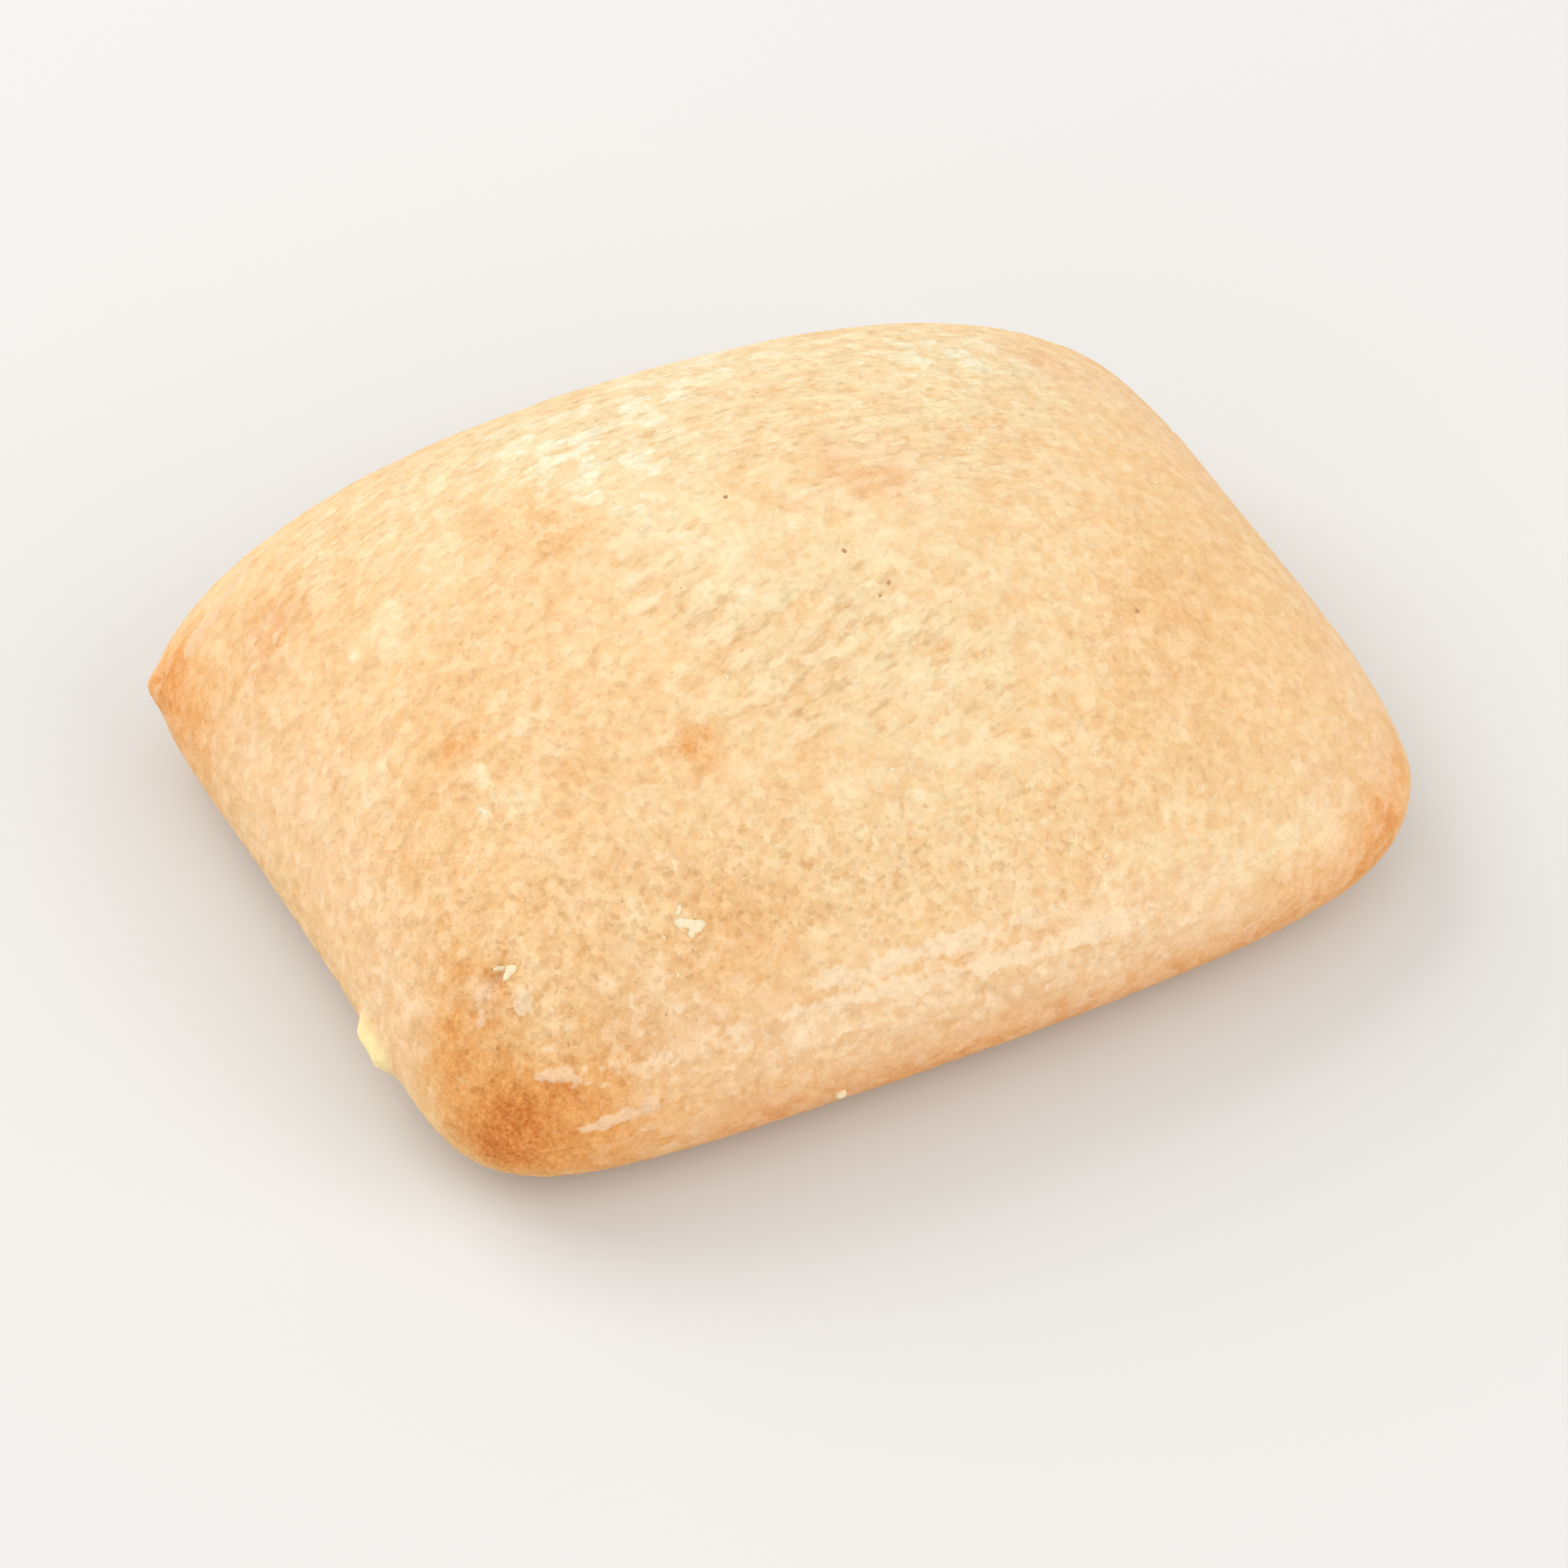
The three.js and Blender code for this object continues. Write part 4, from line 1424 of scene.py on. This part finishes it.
@dataclass
class LooseChips:
    """Chips on the crust: some at known places, the others strewn where the crust is flaky."""

    name: str
    form: RollForm
    finish: DryChip
    chips: tuple[OutlinedChip | OvalChip, ...]
    per_square_mm: float = 0.0
    smallest: float = 0.1
    largest: float = 0.2
    seed: int = 1
    shapes: int = 4
    rim_points: int = 10
    # Rings of a chip at a known place: share of its rim and share of its height
    rings: tuple[tuple[float, float], ...] = ((0.6, 1.0), (1.0, 0.5))
    seat_share: float = 0.95
    seat_depth: float = 0.25
    # Waves around a strewn chip's rim and their depth, each turned by up to a most in radians
    lobes: tuple[tuple[int, float], ...] = ((2, 0.3), (3, 0.25))
    lobe_turn: float = 6.0
    # Rings of a strewn chip: share of its rim, lowest and highest point
    strewn_rings: tuple[tuple[float, float, float], ...] = (
        (0.6, 0.75, 1.0),
        (1.0, 0.4, 1.0),
        (0.9, -1.0, -0.8),
    )
    # Length, width and thickness of a strewn chip for a reach of 1
    proportions: tuple[float, float, float] = (1.0, 0.7, 0.25)

    def build(self, crust: bpy.types.Object) -> bpy.types.Object:
        """Builds the chips and dresses them.

        Args:
            crust: Finished crust that they lie on.

        Returns:
            The chips as one plain mesh object.
        """
        made = plain_object(self.name, self.known_chips())
        stock = bpy.data.collections.new(f"{self.name} stock")
        for number in range(self.shapes):
            shape = self.shape(number)
            stock.objects.link(bpy.data.objects.new(shape.name, shape))
        strewing = {
            "Crust": crust,
            "Shapes": stock,
            "Density": self.per_square_mm / MM**2,
            "Smallest": self.smallest,
            "Largest": self.largest,
            "Seed": self.seed,
            "Material": self.finish.material(),
        }
        apply_tree(made, self.tree(), strewing)
        for shape in [item.data for item in stock.objects]:
            bpy.data.meshes.remove(shape)
        bpy.data.collections.remove(stock)
        return made

    def known_chips(self) -> bpy.types.Mesh:
        """Makes the chips at known places, each a closed skin around its rim.

        Returns:
            The mesh, on the smooth crust, with the lift of each point over the crust as an attribute.
        """
        rows: list[np.ndarray] = []
        lifts: list[float] = []
        faces: list[tuple[int, ...]] = []
        for chip in self.chips:
            rim = chip.outline(self.form)
            middle = rim.mean(0)
            edge = rim - middle
            if np.cross(edge, np.roll(edge, -1, 0)).sum(0) @ (middle - [0, 0, self.form.belly]) < 0:
                edge = edge[::-1]
            start = len(lifts)
            count = len(edge)
            rows.append(middle[None])
            lifts.append(chip.height)
            raised = [(share, part * chip.height) for share, part in self.rings]
            for share, lift in [*raised, (self.seat_share, -self.seat_depth)]:
                rows.append(middle + edge * share)
                lifts += [lift] * count
            rows.append(middle[None])
            lifts.append(-self.seat_depth)
            faces += [tuple(start + i for i in face) for face in self.chip_faces(count)]
        mesh = mesh_of(self.name, np.concatenate(rows), faces)
        lift = mesh.attributes.new("lift", "FLOAT", "POINT")
        lift.data.foreach_set("value", np.array(lifts, np.float32) * MM)
        return mesh

    def chip_faces(self, count: int) -> list[tuple[int, ...]]:
        """Lists a chip's faces: a fan, two strips around the rim and a fan below.

        Args:
            count: Points along the rim.

        Returns:
            Faces as point numbers, for a top point, three rings and a bottom point.
        """
        around = [(i, (i + 1) % count) for i in range(count)]
        faces: list[tuple[int, ...]] = [(0, 1 + a, 1 + b) for a, b in around]
        for row in range(2):
            upper = 1 + row * count
            lower = upper + count
            faces += [(upper + a, lower + a, lower + b, upper + b) for a, b in around]
        last = 1 + 3 * count
        return faces + [(last, last - count + b, last - count + a) for a, b in around]

    def shape(self, number: int) -> bpy.types.Mesh:
        """Makes one ragged, closed chip of unit reach, half of it above its middle.

        Args:
            number: Which of the shapes to make.

        Returns:
            The chip's mesh.
        """
        rng = np.random.default_rng(self.seed + number)
        count = self.rim_points
        angle = np.arange(count) * 2 * math.pi / count
        reach = np.ones(count)
        for waves, depth in self.lobes:
            reach += depth * np.cos(waves * angle + rng.uniform(0, self.lobe_turn))
        rim = np.column_stack([np.cos(angle), np.sin(angle)]) * reach[:, None]
        rows = [np.array([(0.0, 0.0, 1.0)])]
        for share, low, high in self.strewn_rings:
            rows.append(np.column_stack([rim * share, rng.uniform(low, high, count)]))
        rows.append(np.array([(0.0, 0.0, -1.0)]))
        return mesh_of(f"{self.name} {number}", np.concatenate(rows), self.chip_faces(count))

    def tree(self) -> Tree:
        """Builds the tree that seats the known chips on the crust and strews the others.

        Returns:
            The geometry tree.
        """
        kinds = {
            "Crust": "NodeSocketObject",
            "Shapes": "NodeSocketCollection",
            "Density": "NodeSocketFloat",
            "Smallest": "NodeSocketFloat",
            "Largest": "NodeSocketFloat",
            "Seed": "NodeSocketInt",
            "Material": "NodeSocketMaterial",
        }
        tree, given = new_tree("Loose Chips", kinds)
        shown = add_node(tree, "GeometryNodeObjectInfo", {"Object": given.outputs["Crust"]})
        crust = shown.outputs["Geometry"]
        found = []
        for kind in ("GeometryNodeInputPosition", "GeometryNodeInputNormal"):
            wanted = {"Mesh": crust, "Value": add_node(tree, kind).outputs[0]}
            nearest = add_node(tree, "GeometryNodeSampleNearestSurface", wanted, data_type="FLOAT_VECTOR")
            found.append(nearest.outputs[0])
        seat, facing = found
        lift = add_node(tree, "GeometryNodeInputNamedAttribute", {"Name": "lift"}, data_type="FLOAT")
        raised = add_node(
            tree, "ShaderNodeVectorMath", {0: facing, "Scale": lift.outputs[0]}, operation="SCALE"
        )
        place = add_node(tree, "ShaderNodeVectorMath", {0: seat, 1: raised.outputs[0]}, operation="ADD")
        seated = {"Geometry": given.outputs["Geometry"], "Position": place.outputs[0]}
        known = add_node(tree, "GeometryNodeSetPosition", seated).outputs[0]
        joined = add_node(tree, "GeometryNodeJoinGeometry", {0: known})
        tree.links.new(self.strew(tree, given, crust), joined.inputs[0])
        end_tree(tree, given, joined.outputs[0])
        return tree

    def strew(self, tree: Tree, given: bpy.types.Node, crust: Socket) -> Socket:
        """Adds the strewn chips, each with its own size and turn.

        Args:
            tree: The geometry tree.
            given: Its group input node.
            crust: Socket with the crust.

        Returns:
            Socket with the chips as instances.
        """
        flaky = add_node(
            tree, "GeometryNodeInputNamedAttribute", {"Name": Tone.FLAKY.value}, data_type="FLOAT"
        )
        seed = given.outputs["Seed"]
        inputs = {0: flaky.outputs[0], 1: given.outputs["Density"]}
        density = add_node(tree, "ShaderNodeMath", inputs, operation="MULTIPLY").outputs[0]
        inputs = {"Mesh": crust, "Density": density, "Seed": seed}
        strewn = add_node(tree, "GeometryNodeDistributePointsOnFaces", inputs)
        limits = {2: given.outputs["Smallest"], 3: given.outputs["Largest"], "Seed": seed}
        reach = add_node(tree, "FunctionNodeRandomValue", limits, data_type="FLOAT")
        size = add_node(
            tree, "ShaderNodeVectorMath", {0: self.proportions, "Scale": reach.outputs[1]}, operation="SCALE"
        )
        turn = add_node(tree, "FunctionNodeRandomValue", {2: 0.0, 3: 2 * math.pi}, data_type="FLOAT")
        spin = add_node(
            tree, "FunctionNodeAxisAngleToRotation", {"Axis": (0, 0, 1), "Angle": turn.outputs[1]}
        )
        rotation = add_node(
            tree,
            "FunctionNodeRotateRotation",
            {"Rotation": strewn.outputs["Rotation"], "Rotate By": spin.outputs[0]},
            rotation_space="LOCAL",
        )
        stock = add_node(
            tree,
            "GeometryNodeCollectionInfo",
            {"Collection": given.outputs["Shapes"], "Separate Children": True, "Reset Children": True},
        )
        pick = add_node(
            tree, "FunctionNodeRandomValue", {4: 0, 5: self.shapes - 1, "Seed": seed}, data_type="INT"
        )
        return add_node(
            tree,
            "GeometryNodeInstanceOnPoints",
            {
                "Points": strewn.outputs[0],
                "Instance": stock.outputs[0],
                "Pick Instance": True,
                "Instance Index": pick.outputs[2],
                "Rotation": rotation.outputs[0],
                "Scale": size.outputs[0],
            },
        ).outputs[0]


FLAKES = (
    OutlinedChip(LARGE_FLAKE, 0.16),
    OutlinedChip(SMALL_FLAKE, 0.12),
    OutlinedChip(BLISTER_EDGE, 0.3),
    OutlinedChip(BLISTER_SLIVER, 0.15),
    # Crumb under the near wall
    OvalChip((-107.2, -15.2), 1.1, 0.7, 0.45, 10.0),
)

BRAN = (
    OvalChip((-178.8, 84.4), 0.45, 0.4, 0.04),
    OvalChip((-81.2, 75.6), 0.4, 0.55, 0.04, 20.0),
    OvalChip((-45.6, 45.2), 0.45, 0.4, 0.04),
    OvalChip((-76.8, 68.8), 0.5, 0.35, 0.04, 40.0),
    OvalChip((-81.6, 67.6), 0.4, 0.35, 0.04, 60.0),
)


@dataclass(frozen=True)
class MattPaper:
    """Uncoated paper of the floor: one even pale grey without gloss."""

    colour: str = "#d9d8d6"
    roughness: float = 0.95
    specular: float = 0.1

    def material(self) -> bpy.types.Material:
        """Builds the paper's material.

        Returns:
            The material.
        """
        made = bpy.data.materials.new("matt_paper")
        made.use_nodes = True
        shader = made.node_tree.nodes["Principled BSDF"]
        shader.inputs["Base Color"].default_value = linear(self.colour)
        shader.inputs["Roughness"].default_value = self.roughness
        shader.inputs["Specular IOR Level"].default_value = self.specular
        return made


@dataclass(frozen=True)
class Lamp:
    """A large, soft, square lamp: the way to it, its side in millimetres and its power in watts."""

    name: str
    way: tuple[float, float, float]
    side: float
    power: float
    distance: float = 1000.0

    def build(self) -> None:
        """Hangs the lamp so that it faces the roll."""
        data = bpy.data.lights.new(self.name, "AREA")
        data.size = self.side * MM
        data.energy = self.power
        lamp = plain_object(self.name, data)
        towards = Vector(self.way).normalized()
        lamp.location = towards * self.distance * MM
        lamp.rotation_euler = towards.to_track_quat("Z", "Y").to_euler()


@dataclass
class Studio:
    """Plain pale floor, soft light and a camera at the photo's angle."""

    floor_size: float = 4000.0
    paper: MattPaper = MattPaper()
    lamps: tuple[Lamp, ...] = (
        Lamp("key", (-0.38, 0.72, 0.58), 800.0, 5.6),
        Lamp("fill", (0.6, -0.65, 0.5), 900.0, 4.2),
        Lamp("low fill", (-0.78, -0.58, 0.22), 900.0, 2.7),
    )
    sky_colour: str = "#fbfaf8"
    sky_strength: float = 0.85
    azimuth: float = -24.612
    elevation: float = 45.603
    distance: float = 600.0
    focal_pixels: float = 8604.0
    aim: tuple[float, float, float] = (0.0, 0.0, 14.0)
    aim_right: float = -0.451
    aim_up: float = -8.051
    sensor: float = 36.0
    clip_start: float = 10.0

    def build(self, form: RollForm) -> None:
        """Sets up the floor, the light and the camera.

        Args:
            form: Form of the roll, whose frame shift the camera follows.
        """
        half = self.floor_size / 2
        corners = np.array([(-half, -half, 0), (half, -half, 0), (half, half, 0), (-half, half, 0)])
        floor = plain_object("floor", mesh_of("floor", corners, [(0, 1, 2, 3)]))
        floor.data.materials.append(self.paper.material())
        for lamp in self.lamps:
            lamp.build()
        self.sky()
        self.camera(form)

    def sky(self) -> None:
        """Sets an even pale surround."""
        world = bpy.data.worlds.new("studio")
        world.use_nodes = True
        backdrop = world.node_tree.nodes["Background"]
        backdrop.inputs["Color"].default_value = linear(self.sky_colour)
        backdrop.inputs["Strength"].default_value = self.sky_strength
        bpy.context.scene.world = world
        bpy.context.scene.view_settings.view_transform = "Standard"

    def camera(self, form: RollForm) -> None:
        """Places the camera at the photo's angle.

        Args:
            form: Form of the roll, whose frame shift the camera follows.
        """
        turn = math.radians(self.azimuth)
        lift = math.radians(self.elevation)
        back = Vector((math.sin(turn) * math.cos(lift), -math.cos(turn) * math.cos(lift), math.sin(lift)))
        right = Vector((math.cos(turn), math.sin(turn), 0))
        up = back.cross(right)
        aim = Vector(self.aim) + Vector(form.shift) + right * self.aim_right + up * self.aim_up
        data = bpy.data.cameras.new("camera")
        data.sensor_width = self.sensor
        data.lens = self.sensor * self.focal_pixels / IMAGE_SIZE
        data.clip_start = self.clip_start * MM
        camera = plain_object("camera", data)
        axes = Matrix((right, up, back)).transposed().to_4x4()
        camera.matrix_world = Matrix.Translation((aim + back * self.distance) * MM) @ axes
        bpy.context.scene.camera = camera


def main() -> None:
    """Builds the roll and the studio."""
    logging.basicConfig(level=logging.INFO, format="%(name)s: %(message)s")
    form = RollForm()
    crust = Crust(form, GrainPattern()).build()
    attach(crust, BODY)
    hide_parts(CAD_NODE)
    LOG.info("%s: %d faces", crust.name, len(crust.data.polygons))
    for chips in (
        LooseChips(
            "flakes", form, TORN_FLAKE, FLAKES, per_square_mm=0.04, smallest=0.1, largest=0.22, seed=5
        ),
        LooseChips(
            "bran", form, WHEAT_BRAN, BRAN, per_square_mm=0.02, smallest=0.05, largest=0.1, seed=9
        ),
    ):
        piece = chips.build(crust)
        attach(piece, BODY)
        LOG.info("%s: %d faces", piece.name, len(piece.data.polygons))
    Studio().build(form)


if __name__ == "__main__":
    main()
